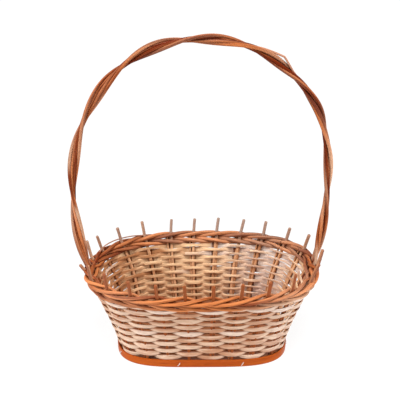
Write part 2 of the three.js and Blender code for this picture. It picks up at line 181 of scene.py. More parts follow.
class BasketFinishes(bpy.types.PropertyGroup):
    """Colours of the basket's materials."""

    split_outer_pale: colour("Split Outer Pale", "Bark side of a pale split", 0.74, 0.525, 0.38)
    split_outer_tan: colour("Split Outer Tan", "Bark side of a tan split", 0.54, 0.28, 0.165)
    split_inner_pale: colour("Split Inner Pale", "Pith side of a pale split", 0.99, 0.66, 0.38)
    split_inner_tan: colour("Split Inner Tan", "Pith side of a tan split", 0.51, 0.23, 0.10)
    split_white: colour("Split White", "Bleached split", 0.88, 0.76, 0.68)
    split_edge: colour("Split Edge", "Stained fibre of a split", 0.27, 0.09, 0.03)
    # Painted shade for the gaps between the splits, their thin edges and their crevices.
    split_painted_shade: colour("Split Recess", "Stain in the gaps and on the edges", 0.135, 0.027, 0.004)
    rod_light: colour("Rod Light", "Light stretch of a stake, inside the wall", 0.80, 0.44, 0.235)
    rod_dark: colour("Rod Dark", "Dark stretch of a stake, inside the wall", 0.44, 0.17, 0.065)
    # Painted shade on each stake's side out of the wall.
    rod_outer_shade: colour("Rod Stain", "Stake outside the wall", 0.28, 0.07, 0.02)
    rod_grey: colour("Rod Grey", "Dry end of a cut rod", 0.41, 0.285, 0.23)
    # Peeled wood, which on some border and handle rods is painted pale as a highlight; half of it also
    # colours the painted sheen streaks.
    rod_peel_and_sheen: colour("Rod Cut", "Wood in a fresh cut or where a rod is peeled", 0.74, 0.50, 0.34)
    border_light: colour("Border Light", "Light stretch of a border rod", 0.62, 0.2, 0.06)
    border_dark: colour("Border Dark", "Dark stretch of a border rod", 0.19, 0.028, 0.004)
    handle_light: colour("Handle Light", "Light stretch of a handle rod", 0.55, 0.17, 0.052)
    handle_dark: colour("Handle Dark", "Dark stretch of a handle rod", 0.13, 0.014, 0.001)
    band_light: colour("Band Light", "Early wood of the stained strip", 0.49, 0.098, 0.01)
    band_dark: colour("Band Dark", "Late wood of the stained strip", 0.36, 0.06, 0.005)
    board_light: colour("Board Light", "Early wood of the plywood", 0.30, 0.10, 0.03)
    board_dark: colour("Board Dark", "Late wood of the plywood", 0.18, 0.05, 0.015)
    staple_metal: colour("Staple Metal", "Bright wire", 0.82, 0.79, 0.74)
    staple_line: colour("Staple Line", "Dull line along the wire", 0.4, 0.38, 0.35)


class BasketStage(bpy.types.PropertyGroup):
    """Camera, lamps and floor."""

    target_height: length("Target Height", "Height of the point that the camera looks at", 214.3)
    camera_distance: length("Camera Distance", "Distance from that point", 942.2)
    camera_elevation: plain("Camera Elevation", "Degrees above the horizon", 21.96)
    camera_turn: plain("Camera Turn", "Degrees round from the front", -0.4)
    focal_length: plain("Focal Length", "Millimetres on a 36 mm sensor", 61.46)
    shift: plain("Shift", "Sideways shift of the picture", -0.0042)
    world_strength: plain("World Strength", "Light from all around", 0.28)
    key_power: plain("Key Power", "Lamp at the upper left, in watts", 25.0)
    top_power: plain("Top Power", "Lamp above the front, in watts", 42.0)
    fill_power: plain("Fill Power", "Lamp low on the right, in watts", 13.0)
    floor_radius: length("Floor Radius", "Floor under the basket", 30000)
    floor_colour: colour("Floor Colour", "Pale floor", 0.94, 0.94, 0.94)


# Shapes.


def unit(vectors):
    """Vectors divided by their lengths."""
    return vectors / np.linalg.norm(vectors, axis=-1, keepdims=True)


def mix(first, second, share):
    """Straight mix of two values, the first at share 0 and the second at share 1."""
    return first + (second - first) * share


def ease(share):
    """Smooth step as half a cosine wave: 0 up to share 0 and 1 from share 1."""
    return 0.5 - 0.5 * np.cos(np.pi * np.clip(share, 0.0, 1.0))


def distances(path):
    """Distance along a path at each of its points."""
    steps = np.linalg.norm(np.diff(path, axis=0), axis=1)
    return np.concatenate([[0.0], np.cumsum(steps)])


def resample(path, spacing):
    """Path with its points moved to even distances along it."""
    along = distances(path)
    count = max(int(round(along[-1] / spacing)), 2) + 1
    even = np.linspace(0.0, along[-1], count)
    return np.stack([np.interp(even, along, path[:, axis]) for axis in range(path.shape[1])], axis=1)


def curve_through(points, steps=8):
    """Catmull-Rom curve: between two points it is a cubic whose slope at each point
    is half the way from the point before to the point after."""
    points = np.asarray(points)
    before = np.concatenate([2 * points[:1] - points[1:2], points[:-2]])
    start, end = points[:-1], points[1:]
    after = np.concatenate([points[2:], 2 * points[-1:] - points[-2:-1]])
    share = (np.arange(steps) / steps)[:, None, None]
    cubic = 0.5 * (
        2 * start
        + (end - before) * share
        + (2 * before - 5 * start + 4 * end - after) * share**2
        + (3 * start - before - 3 * end + after) * share**3
    )
    curve = np.swapaxes(cubic, 0, 1).reshape(-1, points.shape[1])
    return np.concatenate([curve, points[-1:]])


def wobble(along, random, height, wavelength, waves=4):
    """Gentle unevenness: sine waves with random lengths near the given one and random starts, added up."""
    lengths = wavelength * random.uniform(0.5, 1.8, waves)
    starts = random.uniform(0.0, 2 * np.pi, waves)
    angles = 2 * np.pi * along[..., None] / lengths + starts
    return height * np.sin(angles).sum(axis=-1) / math.sqrt(waves)


class Wall:
    """Middle surface of the woven wall, through the stakes' centre lines.

    At each height the outline is a superellipse: its radius at an angle is
    (|cos/a|^n + |sin/b|^n)^(-1/n). The half length a, half depth b and squareness n run from
    the base to the rim with the flare, which is the share of the height to a power.
    A place on the wall is a share of the way round its outline and a height.
    """

    LEVELS = 121
    STEPS = 1441
    SPARE = 12 * MILLIMETRE
    SLOPE_REACH = 2 * MILLIMETRE
    # Unevenness of the rim as bell curves: stake, reach in stakes and height in millimetres.
    SAGS = ((10.3, 1.6, -3.5), (5.5, 2.5, 1.9), (2.7, 1.5, 1.2))

    def __init__(self, sizes):
        self.sizes = sizes
        self.stake_radius = sizes.stake_diameter / 2
        self.band_outer = self.stake_radius + sizes.clearance + sizes.band_thickness
        self.border_offset = self.stake_radius + sizes.clearance + sizes.border_rod / 2
        self.border_outer = self.border_offset + sizes.border_rod / 2
        self.border_step = (sizes.border_rod + sizes.border_gap) * sizes.border_press
        self.border_bottom = sizes.rim_height - sizes.border_levels * self.border_step
        self.weave_bottom = sizes.band_height + sizes.weave_raise
        self.row_pitch = (self.border_bottom - self.weave_bottom) / ROW_COUNT
        self.weave_middle = (self.border_bottom + self.weave_bottom) / 2
        self.top = max(self.stake_top(stake) for stake in range(STAKE_COUNT)) + self.SPARE
        self.make_table()
        self.first_turn = sizes.first_stake / self.girth(sizes.rim_height)
        # Each end of the handle is a row of rods beside an end stake: its middle and its far side.
        self.handle_pair = sizes.handle_rod + sizes.handle_rod_gap
        foot_half = HANDLE_PLACES[0][0] * self.handle_pair + sizes.handle_rod / 2
        self.foot_from_stake = self.stake_radius + sizes.handle_from_stake + foot_half
        self.foot_reach = self.foot_from_stake + foot_half + 2 * sizes.clearance

    @staticmethod
    def stake_top(stake):
        """Height of a stake's tip in the frame."""
        low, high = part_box(f"stake_{stake + 1:02d}")
        return high.z

    def flare(self, height, power):
        """0 at the band, 1 at the rim, and a little less steep above it."""
        sizes = self.sizes
        rise = (height - sizes.band_height) / (sizes.rim_height - sizes.band_height)
        below = np.clip(rise, 0.0, 1.0) ** power
        above = power * sizes.tip_lean * np.clip(rise - 1.0, 0.0, None)
        return below + above

    def make_table(self):
        """Points at even shares of the way round, for a row of heights."""
        sizes = self.sizes
        self.heights = np.linspace(0.0, self.top, self.LEVELS)
        end_flare = self.flare(self.heights, sizes.end_flare)[:, None]
        side_flare = self.flare(self.heights, sizes.side_flare)[:, None]
        foot_length = sizes.base_length / 2 - self.band_outer
        foot_depth = sizes.base_depth / 2 - self.band_outer
        half_length = mix(foot_length, sizes.rim_length / 2 - self.border_outer, end_flare)
        half_depth = mix(foot_depth, sizes.rim_depth / 2 - self.border_outer, side_flare)
        squareness = mix(sizes.base_squareness, sizes.rim_squareness, end_flare)
        angle = np.linspace(0.0, 2 * np.pi, self.STEPS)
        cosine, sine = np.cos(angle), np.sin(angle)
        along = np.abs(cosine / half_length) ** squareness
        across = np.abs(sine / half_depth) ** squareness
        radius = (along + across) ** (-1 / squareness)
        outlines = np.stack([radius * cosine, radius * sine], axis=-1)
        steps = np.linalg.norm(np.diff(outlines, axis=1), axis=-1)
        reached = np.concatenate([np.zeros((self.LEVELS, 1)), np.cumsum(steps, axis=1)], axis=1)
        self.girths = reached[:, -1]
        shares = np.linspace(0.0, 1.0, self.STEPS)
        self.table = np.stack([
            np.stack([np.interp(shares * whole, done, outline[:, axis]) for axis in (0, 1)], axis=-1)
            for whole, done, outline in zip(self.girths, reached, outlines)
        ])

    def girth(self, height):
        """Way round the wall at a height."""
        return np.interp(height, self.heights, self.girths)

    def point(self, turn, height):
        """Point of the wall, worked out of the table by straight mixes both ways."""
        turn, height = np.broadcast_arrays(turn, height)
        column = (turn % 1.0) * (self.STEPS - 1)
        level = np.clip(height / self.top, 0.0, 1.0) * (self.LEVELS - 1)
        left = np.minimum(column.astype(int), self.STEPS - 2)
        below = np.minimum(level.astype(int), self.LEVELS - 2)
        aside = (column - left)[..., None]
        upward = (level - below)[..., None]
        lower = mix(self.table[below, left], self.table[below, left + 1], aside)
        higher = mix(self.table[below + 1, left], self.table[below + 1, left + 1], aside)
        return np.concatenate([mix(lower, higher, upward), height[..., None]], axis=-1)

    def directions(self, turn, height):
        """Unit vectors round the wall, up it and out of it."""
        turn, height = np.broadcast_arrays(turn, height)
        shift = self.SLOPE_REACH / self.girth(height)
        high = np.minimum(height + self.SLOPE_REACH, self.top)
        low = np.maximum(height - self.SLOPE_REACH, 0.0)
        along = unit(self.point(turn + shift, height) - self.point(turn - shift, height))
        upward = unit(self.point(turn, high) - self.point(turn, low))
        return along, upward, unit(np.cross(along, upward))

    def place(self, turn, height, out=0.0):
        """Point a distance out of the wall."""
        out = np.broadcast_to(out, np.broadcast_shapes(np.shape(turn), np.shape(height), np.shape(out)))
        outward = self.directions(turn, height)[2]
        return self.point(turn, height) + outward * out[..., None]

    def stake_turn(self, stake):
        """Share of the way round at which a stake stands."""
        return self.first_turn + stake / STAKE_COUNT

    @staticmethod
    def behind(turn):
        """0 in the middle of the front and 1 in the middle of the back, as a sine wave of the turn."""
        return 0.5 + 0.5 * np.sin(2 * np.pi * turn)

    def bells(self, turn, places):
        """Sum of bell curves round the wall, each given by its stake, reach in stakes and height."""
        at = (turn - self.first_turn) * STAKE_COUNT % STAKE_COUNT
        return sum(high * np.exp(-((at - middle) / reach) ** 2) for middle, reach, high in places)

    def sag(self, turn):
        """Unevenness of the shown rim."""
        return MILLIMETRE * self.bells(turn, self.SAGS)


class Strand:
    """One rod or split: rings of points round a path, with its distance and shades along it."""

    def __init__(self, path, reference, half_width, half_thickness, random, squareness=2.0, sides=14):
        """Each ring is a superellipse square to the path: its width lies along the reference
        and its thickness along the path's direction crossed with the reference."""
        count = len(path)
        ahead = unit(np.gradient(path, axis=0))
        reference = np.broadcast_to(reference, path.shape)
        across = unit(reference - ahead * (reference * ahead).sum(axis=1, keepdims=True))
        through = np.cross(ahead, across)
        angle = 2 * np.pi * np.arange(sides) / sides
        cosine, sine = np.cos(angle), np.sin(angle)
        deep = np.sign(cosine) * np.abs(cosine) ** (2 / squareness)
        wide = np.sign(sine) * np.abs(sine) ** (2 / squareness)
        half_width = np.broadcast_to(half_width, count)[:, None, None]
        half_thickness = np.broadcast_to(half_thickness, count)[:, None, None]
        self.rings = (
            path[:, None]
            + through[:, None] * half_thickness * deep[:, None]
            + across[:, None] * half_width * wide[:, None]
        )
        self.along = distances(path)
        self.start = random.uniform(0.0, 50.0)
        self.tone = np.full(count, random.uniform(0.0, 1.0))
        self.bleach = np.zeros(count)
        self.recess = np.zeros(count)


def end_cut(path, bevel, left=0.72):
    """Share of the thickness near both ends of a path, for a cut with a broken edge:
    a quarter circle over the bevel's length, from the share that is left at the very end."""
    along = distances(path)
    nearest = np.minimum(along, along[-1] - along)
    share = np.clip(nearest / bevel, 0.0, 1.0)
    return mix(left, 1.0, np.sqrt(1.0 - (1.0 - share) ** 2))


def loose_rod(stops, reference, radius, random):
    """Thin dry rod that has sprung out, a curve through a few points."""
    path = resample(curve_through(stops), ROD_STEP)
    radii = radius * end_cut(path, ROD_BEVEL)
    strand = Strand(path, reference, radii, radii, random)
    strand.bleach[:] = LOOSE_DRYNESS
    return strand


def strand_faces(rings, sides, first):
    """Corner numbers of the quads between rings and of the two end faces, all facing out."""
    ring = np.arange(rings - 1)[:, None] * sides + first
    side = np.arange(sides)[None, :]
    after = (side + 1) % sides
    quads = np.stack([ring + side, ring + sides + side, ring + sides + after, ring + after], axis=-1)
    start = first + np.arange(sides)
    end = first + (rings - 1) * sides + np.arange(sides)[::-1]
    return quads.reshape(-1, 4), start, end


def strand_grain(strand):
    """Texture places for the corners of a strand's faces: distance along it and share round it."""
    sides = strand.rings.shape[1]
    share = np.arange(sides) / sides
    corners = (strand.along[:-1, None], strand.along[1:, None], share, share + 1 / sides)
    here, ahead, side, after = np.broadcast_arrays(*corners)
    along = np.stack([here, ahead, ahead, here], axis=-1)
    round_it = np.stack([side, side, after, after], axis=-1)
    quads = np.stack([along, round_it], axis=-1).reshape(-1, 2)
    start = np.stack([np.full(sides, strand.along[0]), share], axis=1)
    end = np.stack([np.full(sides, strand.along[-1]), share[::-1]], axis=1)
    return np.concatenate([quads, start, end])


def add_strands(name, strands, material, node):
    """Mesh object of one or more strands, which stands for a CAD node and rides with the basket."""
    points, faces, grain = [], [], []
    first = 0
    for strand in strands:
        rings, sides = strand.rings.shape[:2]
        quads, start, end = strand_faces(rings, sides, first)
        points.append(strand.rings.reshape(-1, 3))
        faces += [*quads.tolist(), start.tolist(), end.tolist()]
        grain.append(strand_grain(strand))
        first += rings * sides
    mesh = bpy.data.meshes.new(name)
    mesh.from_pydata(np.concatenate(points).tolist(), [], faces)
    mesh.uv_layers.new(name="grain").data.foreach_set("uv", np.concatenate(grain).ravel())
    for shade in ("tone", "bleach", "recess", "start"):
        values = []
        for strand in strands:
            rings, sides = strand.rings.shape[:2]
            values.append(np.repeat(np.broadcast_to(getattr(strand, shade), rings), sides))
        attribute = mesh.attributes.new(shade, "FLOAT", "POINT")
        attribute.data.foreach_set("value", np.concatenate(values).astype(np.float32))
    mesh.shade_smooth()
    mesh.set_sharp_from_angle(angle=CREASE)
    mesh.materials.append(material)
    piece = bpy.data.objects.new(name, mesh)
    bpy.context.scene.collection.objects.link(piece)
    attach(piece, BODY)
    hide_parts(node)


# Materials.


class Recipe:
    """Material made of nodes, with short calls that add a node and join its inputs."""

    def __init__(self, name):
        self.material = bpy.data.materials.new(name)
        self.material.use_nodes = True
        self.tree = self.material.node_tree
        self.shader = self.tree.nodes["Principled BSDF"]

    def node(self, kind, output=0, settings=None, **inputs):
        """Adds a node, sets or joins its inputs by name or number, and returns one output."""
        made = self.tree.nodes.new(kind)
        for key, value in (settings or {}).items():
            setattr(made, key, value)
        for key, value in inputs.items():
            place = made.inputs[int(key[1:])] if key[0] == "i" and key[1:].isdigit() else made.inputs[key]
            self.feed(place, value)
        return made.outputs[output]

    def feed(self, place, value):
        """Joins an output to an input, or sets the input to a value."""
        if isinstance(value, bpy.types.NodeSocket):
            self.tree.links.new(value, place)
        else:
            place.default_value = value

    def combine(self, first, second, kind="ADD"):
        """Two numbers added, or put together in another way."""
        return self.node("ShaderNodeMath", settings={"operation": kind}, i0=first, i1=second)

    def blend(self, share, first, second):
        """Two colours, each an output or three numbers, mixed by a share."""
        colours = {}
        for place, value in (("i6", first), ("i7", second)):
            colours[place] = value if isinstance(value, bpy.types.NodeSocket) else (*value, 1.0)
        settings = {"data_type": "RGBA"}
        return self.node("ShaderNodeMix", output=2, settings=settings, i0=share, **colours)

    def stretch(self, value, low, high, to_low=0.0, to_high=1.0):
        """Number carried from one range to another and held inside it."""
        return self.node(
            "ShaderNodeMapRange",
            settings={"interpolation_type": "SMOOTHSTEP"},
            i0=value,
            i1=low,
            i2=high,
            i3=to_low,
            i4=to_high,
        )

    def shade(self, name):
        """Number that the piece's mesh carries at its points."""
        return self.node("ShaderNodeAttribute", output=2, settings={"attribute_name": name})

    def noise(self, vector, detail):
        """Soft noise, from 0 to 1, with features about one unit long."""
        return self.node("ShaderNodeTexNoise", Vector=vector, Scale=1.0, Detail=detail, Roughness=0.55)

    def along_grain(self, radius):
        """Place on a strand in metres: its distance along, and a circle of the strand's radius round it,
        so that no seam shows. Keeps the cosine, which is 1 on a split's outside and a stake's inside,
        and the sine, which is 1 on one edge."""
        texture_place = self.node("ShaderNodeUVMap", settings={"uv_map": "grain"})
        distance, turn = self.node("ShaderNodeSeparateXYZ", i0=texture_place).node.outputs[:2]
        angle = self.combine(turn, 2 * math.pi, "MULTIPLY")
        self.facing = self.combine(angle, 0.0, "COSINE")
        self.across = self.combine(angle, 0.0, "SINE")
        along = self.combine(distance, self.shade("start"))
        circle = (self.combine(part, radius, "MULTIPLY") for part in (self.facing, self.across))
        self.grain = (along, *circle)

    def crevice(self, reach):
        """Share of the open sky that the surroundings hide within a reach."""
        sky = self.node("ShaderNodeAmbientOcclusion", output=1, settings={"samples": 8}, Distance=reach)
        return self.combine(1.0, sky, "SUBTRACT")

    def streaks(self, length, width, detail=3.0):
        """Noise drawn out along the strand, with features of a length and a width in metres."""
        along, side, over = self.grain
        vector = self.node(
            "ShaderNodeCombineXYZ",
            i0=self.combine(along, 1 / length, "MULTIPLY"),
            i1=self.combine(side, 1 / width, "MULTIPLY"),
            i2=self.combine(over, 1 / width, "MULTIPLY"),
        )
        return self.noise(vector, detail)

    def finish(self, base, roughness, height, depth, **settings):
        """Joins the colour, the roughness and the bump to the shader and sets its other inputs."""
        bump = self.node("ShaderNodeBump", Strength=1.0, Distance=depth, Height=height)
        inputs = {"Base Color": base, "Roughness": roughness, "Normal": bump, **settings}
        for key, value in inputs.items():
            self.feed(self.shader.inputs[key], value)
        return self.material


def dimmed(tint, share):
    """Colour with each of its parts made smaller by a share."""
    return [share * part for part in tint]


def split_willow(finishes):
    """Split willow: pale bark side, warmer pith side, long fibres and stain streaks, with painted shade on
    its edges.
    Painted shade also darkens the crevices and the gaps, where the mesh carries a share of it, which is
    above 0 for the bark side and below 0 for the pith side."""
    recipe = Recipe("split_willow")
    recipe.along_grain(2.5 * MILLIMETRE)
    drift = recipe.stretch(recipe.streaks(0.03, 0.004), 0.3, 0.7, -0.5, 0.5)
    tan_share = recipe.stretch(recipe.combine(recipe.shade("tone"), drift), 0.0, 1.0)
    outer = recipe.blend(tan_share, finishes.split_outer_pale, finishes.split_outer_tan)
    inner = recipe.blend(tan_share, finishes.split_inner_pale, finishes.split_inner_tan)
    side = recipe.stretch(recipe.facing, -0.25, 0.25)
    body = recipe.blend(side, inner, outer)
    bleached = recipe.blend(recipe.shade("bleach"), body, finishes.split_white)
    fibres = recipe.streaks(0.02, 0.0005, 5.0)
    fibre_share = recipe.stretch(fibres, 0.42, 0.75, 0.0, 0.55)
    streaked = recipe.blend(fibre_share, bleached, finishes.split_edge)
    stains = recipe.stretch(recipe.streaks(0.012, 0.003, 4.0), 0.58, 0.78, 0.0, 0.5)
    stained = recipe.blend(stains, streaked, finishes.split_edge)
    # Painted shade along the split's thin edges, stronger on the bark side.
    edge = recipe.stretch(recipe.facing, -0.3, 0.3, 0.3, 0.8)
    edge = recipe.stretch(recipe.combine(recipe.facing, 0.0, "ABSOLUTE"), 0.0, 0.45, edge, 0.0)
    edged = recipe.blend(edge, stained, finishes.split_painted_shade)
    # Painted shade in the gaps: on the bark side where the split passes behind a stake, stronger towards
    # the split's edges, and on the pith side beside the stakes that it lies outside.
    recess = recipe.shade("recess")
    from_middle = recipe.combine(recipe.combine(recipe.across, 0.0, "ABSOLUTE"), 0.5, "MULTIPLY")
    shade_outside = recipe.stretch(recipe.combine(recess, from_middle), 0.35, 1.0, 0.0, 0.97)
    shade_inside = recipe.stretch(recess, -0.1, -0.9, 0.0, 0.9)
    painted_shade = recipe.node("ShaderNodeMix", i0=side, i2=shade_inside, i3=shade_outside)
    # Painted shade in the crevices, weaker on the pith side.
    crevice_shade = recipe.stretch(recipe.crevice(5 * MILLIMETRE), 0.35, 0.95, 0.0, 0.75)
    crevice_shade = recipe.combine(crevice_shade, recipe.stretch(recipe.facing, -0.25, 0.25, 0.3, 1.0), "MULTIPLY")
    painted_shade = recipe.combine(painted_shade, crevice_shade, "MAXIMUM")
    base = recipe.blend(painted_shade, edged, finishes.split_painted_shade)
    roughness = recipe.stretch(fibres, 0.3, 0.8, 0.42, 0.7)
    return recipe.finish(base, roughness, fibres, 0.25 * MILLIMETRE, **{"Specular IOR Level": 0.06})


def willow_rod(name, light, dark, finishes, coat, gather, outer_shade=0.0):
    """Boiled willow rod: long red-brown and orange stretches, fine lines, pale streaks of painted sheen and
    a thin varnish.
    Painted shade darkens the crevices, up to the share given as gather. Ends that were cut are dry and
    grey, the side out of the wall can carry painted shade, and where the mesh carries a share of peel the
    rod is peeled, partly as a painted highlight."""
    recipe = Recipe(name)
    recipe.along_grain(2.0 * MILLIMETRE)
    drift = recipe.stretch(recipe.streaks(0.09, 0.004), 0.3, 0.7, -0.4, 0.4)
    dark_share = recipe.stretch(recipe.combine(recipe.shade("tone"), drift), 0.0, 1.0)
    body = recipe.blend(dark_share, light, dark)
    # Painted shade on the side out of the wall.
    outer_shade_share = recipe.stretch(recipe.facing, 0.4, -0.4, 0.0, outer_shade)
    stained = recipe.blend(outer_shade_share, body, finishes.rod_outer_shade)
    # Peeled wood, on some rods also a painted highlight.
    peeled = recipe.blend(recipe.shade("recess"), stained, finishes.rod_peel_and_sheen)
    fibres = recipe.streaks(0.06, 0.0012, 2.0)
    lines = recipe.stretch(fibres, 0.45, 0.75, 0.0, 0.5)
    lined = recipe.blend(lines, peeled, dimmed(dark, 0.45))
    # Painted sheen: pale streaks along the rod.
    sheen_streaks = recipe.stretch(recipe.streaks(0.05, 0.0012), 0.55, 0.8, 0.0, 0.25)
    sheen_colour = mix(np.array(finishes.rod_peel_and_sheen), np.array(light), 0.5).tolist()
    sheened = recipe.blend(sheen_streaks, lined, sheen_colour)
    # Painted shade in the crevices.
    crevice_shade = recipe.stretch(recipe.crevice(6 * MILLIMETRE), 0.3, 0.9, 0.0, gather)
    crevice_shaded = recipe.blend(crevice_shade, sheened, dimmed(dark, 0.6))
    base = recipe.blend(recipe.shade("bleach"), crevice_shaded, finishes.rod_grey)
    roughness = recipe.stretch(fibres, 0.3, 0.8, 0.34, 0.6)
    settings = {"Coat Weight": coat, "Coat Roughness": 0.22, "Specular IOR Level": 0.05}
    return recipe.finish(base, roughness, fibres, 0.12 * MILLIMETRE, **settings)


def board_plywood(finishes):
    """Stained plywood with its grain along X: rings of a bent wave, with pores of a drawn out noise."""
    recipe = Recipe("board_plywood")
    place = recipe.node("ShaderNodeTexCoord", output=3)
    stretched = recipe.node("ShaderNodeMapping", Vector=place, Scale=(6.0, 60.0, 60.0))
    rings = recipe.node(
        "ShaderNodeTexWave",
        settings={"wave_type": "BANDS", "bands_direction": "DIAGONAL"},
        Vector=stretched,
        Scale=1.2,
        Distortion=9.0,
        Detail=3.0,
    )
    pores = recipe.noise(recipe.node("ShaderNodeMapping", Vector=place, Scale=(40.0, 900.0, 900.0)), 4.0)
    share = recipe.combine(recipe.combine(rings, 0.55, "MULTIPLY"), recipe.combine(pores, 0.45, "MULTIPLY"))
    base = recipe.blend(recipe.stretch(share, 0.25, 0.8), finishes.board_light, finishes.board_dark)
    roughness = recipe.stretch(pores, 0.3, 0.7, 0.5, 0.65)
    return recipe.finish(base, roughness, pores, 0.15 * MILLIMETRE)


def stained_band(finishes):
    """Stained and varnished strip, with its figure and dark pores along it."""
    recipe = Recipe("stained_band")
    recipe.along_grain(5.0 * MILLIMETRE)
    figure = recipe.stretch(recipe.streaks(0.12, 0.0025, 4.0), 0.3, 0.7)
    body = recipe.blend(figure, finishes.band_light, finishes.band_dark)
    pores = recipe.streaks(0.015, 0.0004, 4.0)
    lines = recipe.stretch(pores, 0.5, 0.8, 0.0, 0.45)
    base = recipe.blend(lines, body, dimmed(finishes.band_dark, 0.4))
    roughness = recipe.stretch(pores, 0.3, 0.8, 0.3, 0.45)
    settings = {"Coat Weight": 0.05, "Coat Roughness": 0.15, "Specular IOR Level": 0.06}
    return recipe.finish(base, roughness, pores, 0.1 * MILLIMETRE, **settings)


def bright_wire(finishes):
    """Bright steel wire, drawn, with fine lines along it."""
    recipe = Recipe("bright_wire")
    recipe.along_grain(0.45 * MILLIMETRE)
    lines = recipe.streaks(0.004, 0.00008, 3.0)
    shade = recipe.stretch(lines, 0.2, 0.8, 0.75, 1.0)
    base = recipe.blend(shade, finishes.staple_line, finishes.staple_metal)
    roughness = recipe.stretch(lines, 0.3, 0.7, 0.22, 0.34)
    return recipe.finish(base, roughness, lines, 0.02 * MILLIMETRE, Metallic=1.0)


# Pieces.


class BASKET_OT_board(bpy.types.Operator):
    """Gives the CAD model's base board its plywood"""

    bl_idname = "basket.board"
    bl_label = "Base Board"

    def execute(self, context):
        finishes = context.scene.basket_finishes
        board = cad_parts["base_board"]
        board.data.materials.clear()
        board.data.materials.append(board_plywood(finishes))
        return {"FINISHED"}


class BASKET_OT_band(bpy.types.Operator):
    """Bends the stained strip round the board"""

    bl_idname = "basket.band"
    bl_label = "Base Band"

    SEED = 11
    RINGS = 480
    SIDES = 32
    SQUARENESS = 8.0

    def execute(self, context):
        sizes = context.scene.basket_sizes
        wall = Wall(sizes)
        random = np.random.default_rng(self.SEED)
        middle = wall.band_outer - sizes.band_thickness / 2
        seam = wall.stake_turn(STAKE_COUNT / 4 + 0.5)
        half_seam = sizes.band_seam / 2 / wall.girth(0.0)
        turn = np.linspace(seam + half_seam, seam + 1 - half_seam, self.RINGS)
        path = wall.place(turn, 0.0, middle)
        path[:, 2] = sizes.band_height / 2
        halves = (sizes.band_height / 2, sizes.band_thickness / 2)
        strand = Strand(path, UPRIGHT, *halves, random, self.SQUARENESS, self.SIDES)
        material = stained_band(context.scene.basket_finishes)
        add_strands("bent_band", [strand], material, "base_band")
        return {"FINISHED"}


class BASKET_OT_staples(bpy.types.Operator):
    """Drives slanted wire staples through the band"""

    bl_idname = "basket.staples"
    bl_label = "Band Staples"

    SEED = 12
    SIDES = 10
    SQUARENESS = 2.6
    STEP = 0.3 * MILLIMETRE

    def execute(self, context):
        sizes = context.scene.basket_sizes
        wall = Wall(sizes)
        random = np.random.default_rng(self.SEED)
        wire = bright_wire(context.scene.basket_finishes)
        gaps = STAKE_COUNT // STAPLE_COUNT
        radius = sizes.staple_wire / 2
        half = sizes.staple_crown / 2 - radius
        proud = sizes.clearance + radius
        leg = [(half, -sizes.staple_leg), (half, -0.5 * half), (half, 0.0), (0.6 * half, proud)]
        outline = [*((-across, out) for across, out in leg), *reversed(leg)]
        bent = resample(curve_through(outline), self.STEP)
        for staple in range(STAPLE_COUNT):
            turn = wall.stake_turn(1 + staple * gaps + 0.5)
            face = wall.place(turn, 0.0, wall.band_outer)
            face[2] = sizes.board_thickness / 2
            along, upward, outward = wall.directions(turn, 0.0)
            crown = unit(along * math.sin(sizes.staple_slant) + upward * math.cos(sizes.staple_slant))
            path = face + bent[:, :1] * crown + bent[:, 1:] * outward
            side = np.cross(crown, outward)
            strand = Strand(path, side, radius, radius, random, self.SQUARENESS, self.SIDES)
            number = f"{staple + 1:02d}"
            add_strands(f"staple_{number}", [strand], wire, f"band_staple_{number}")
        return {"FINISHED"}


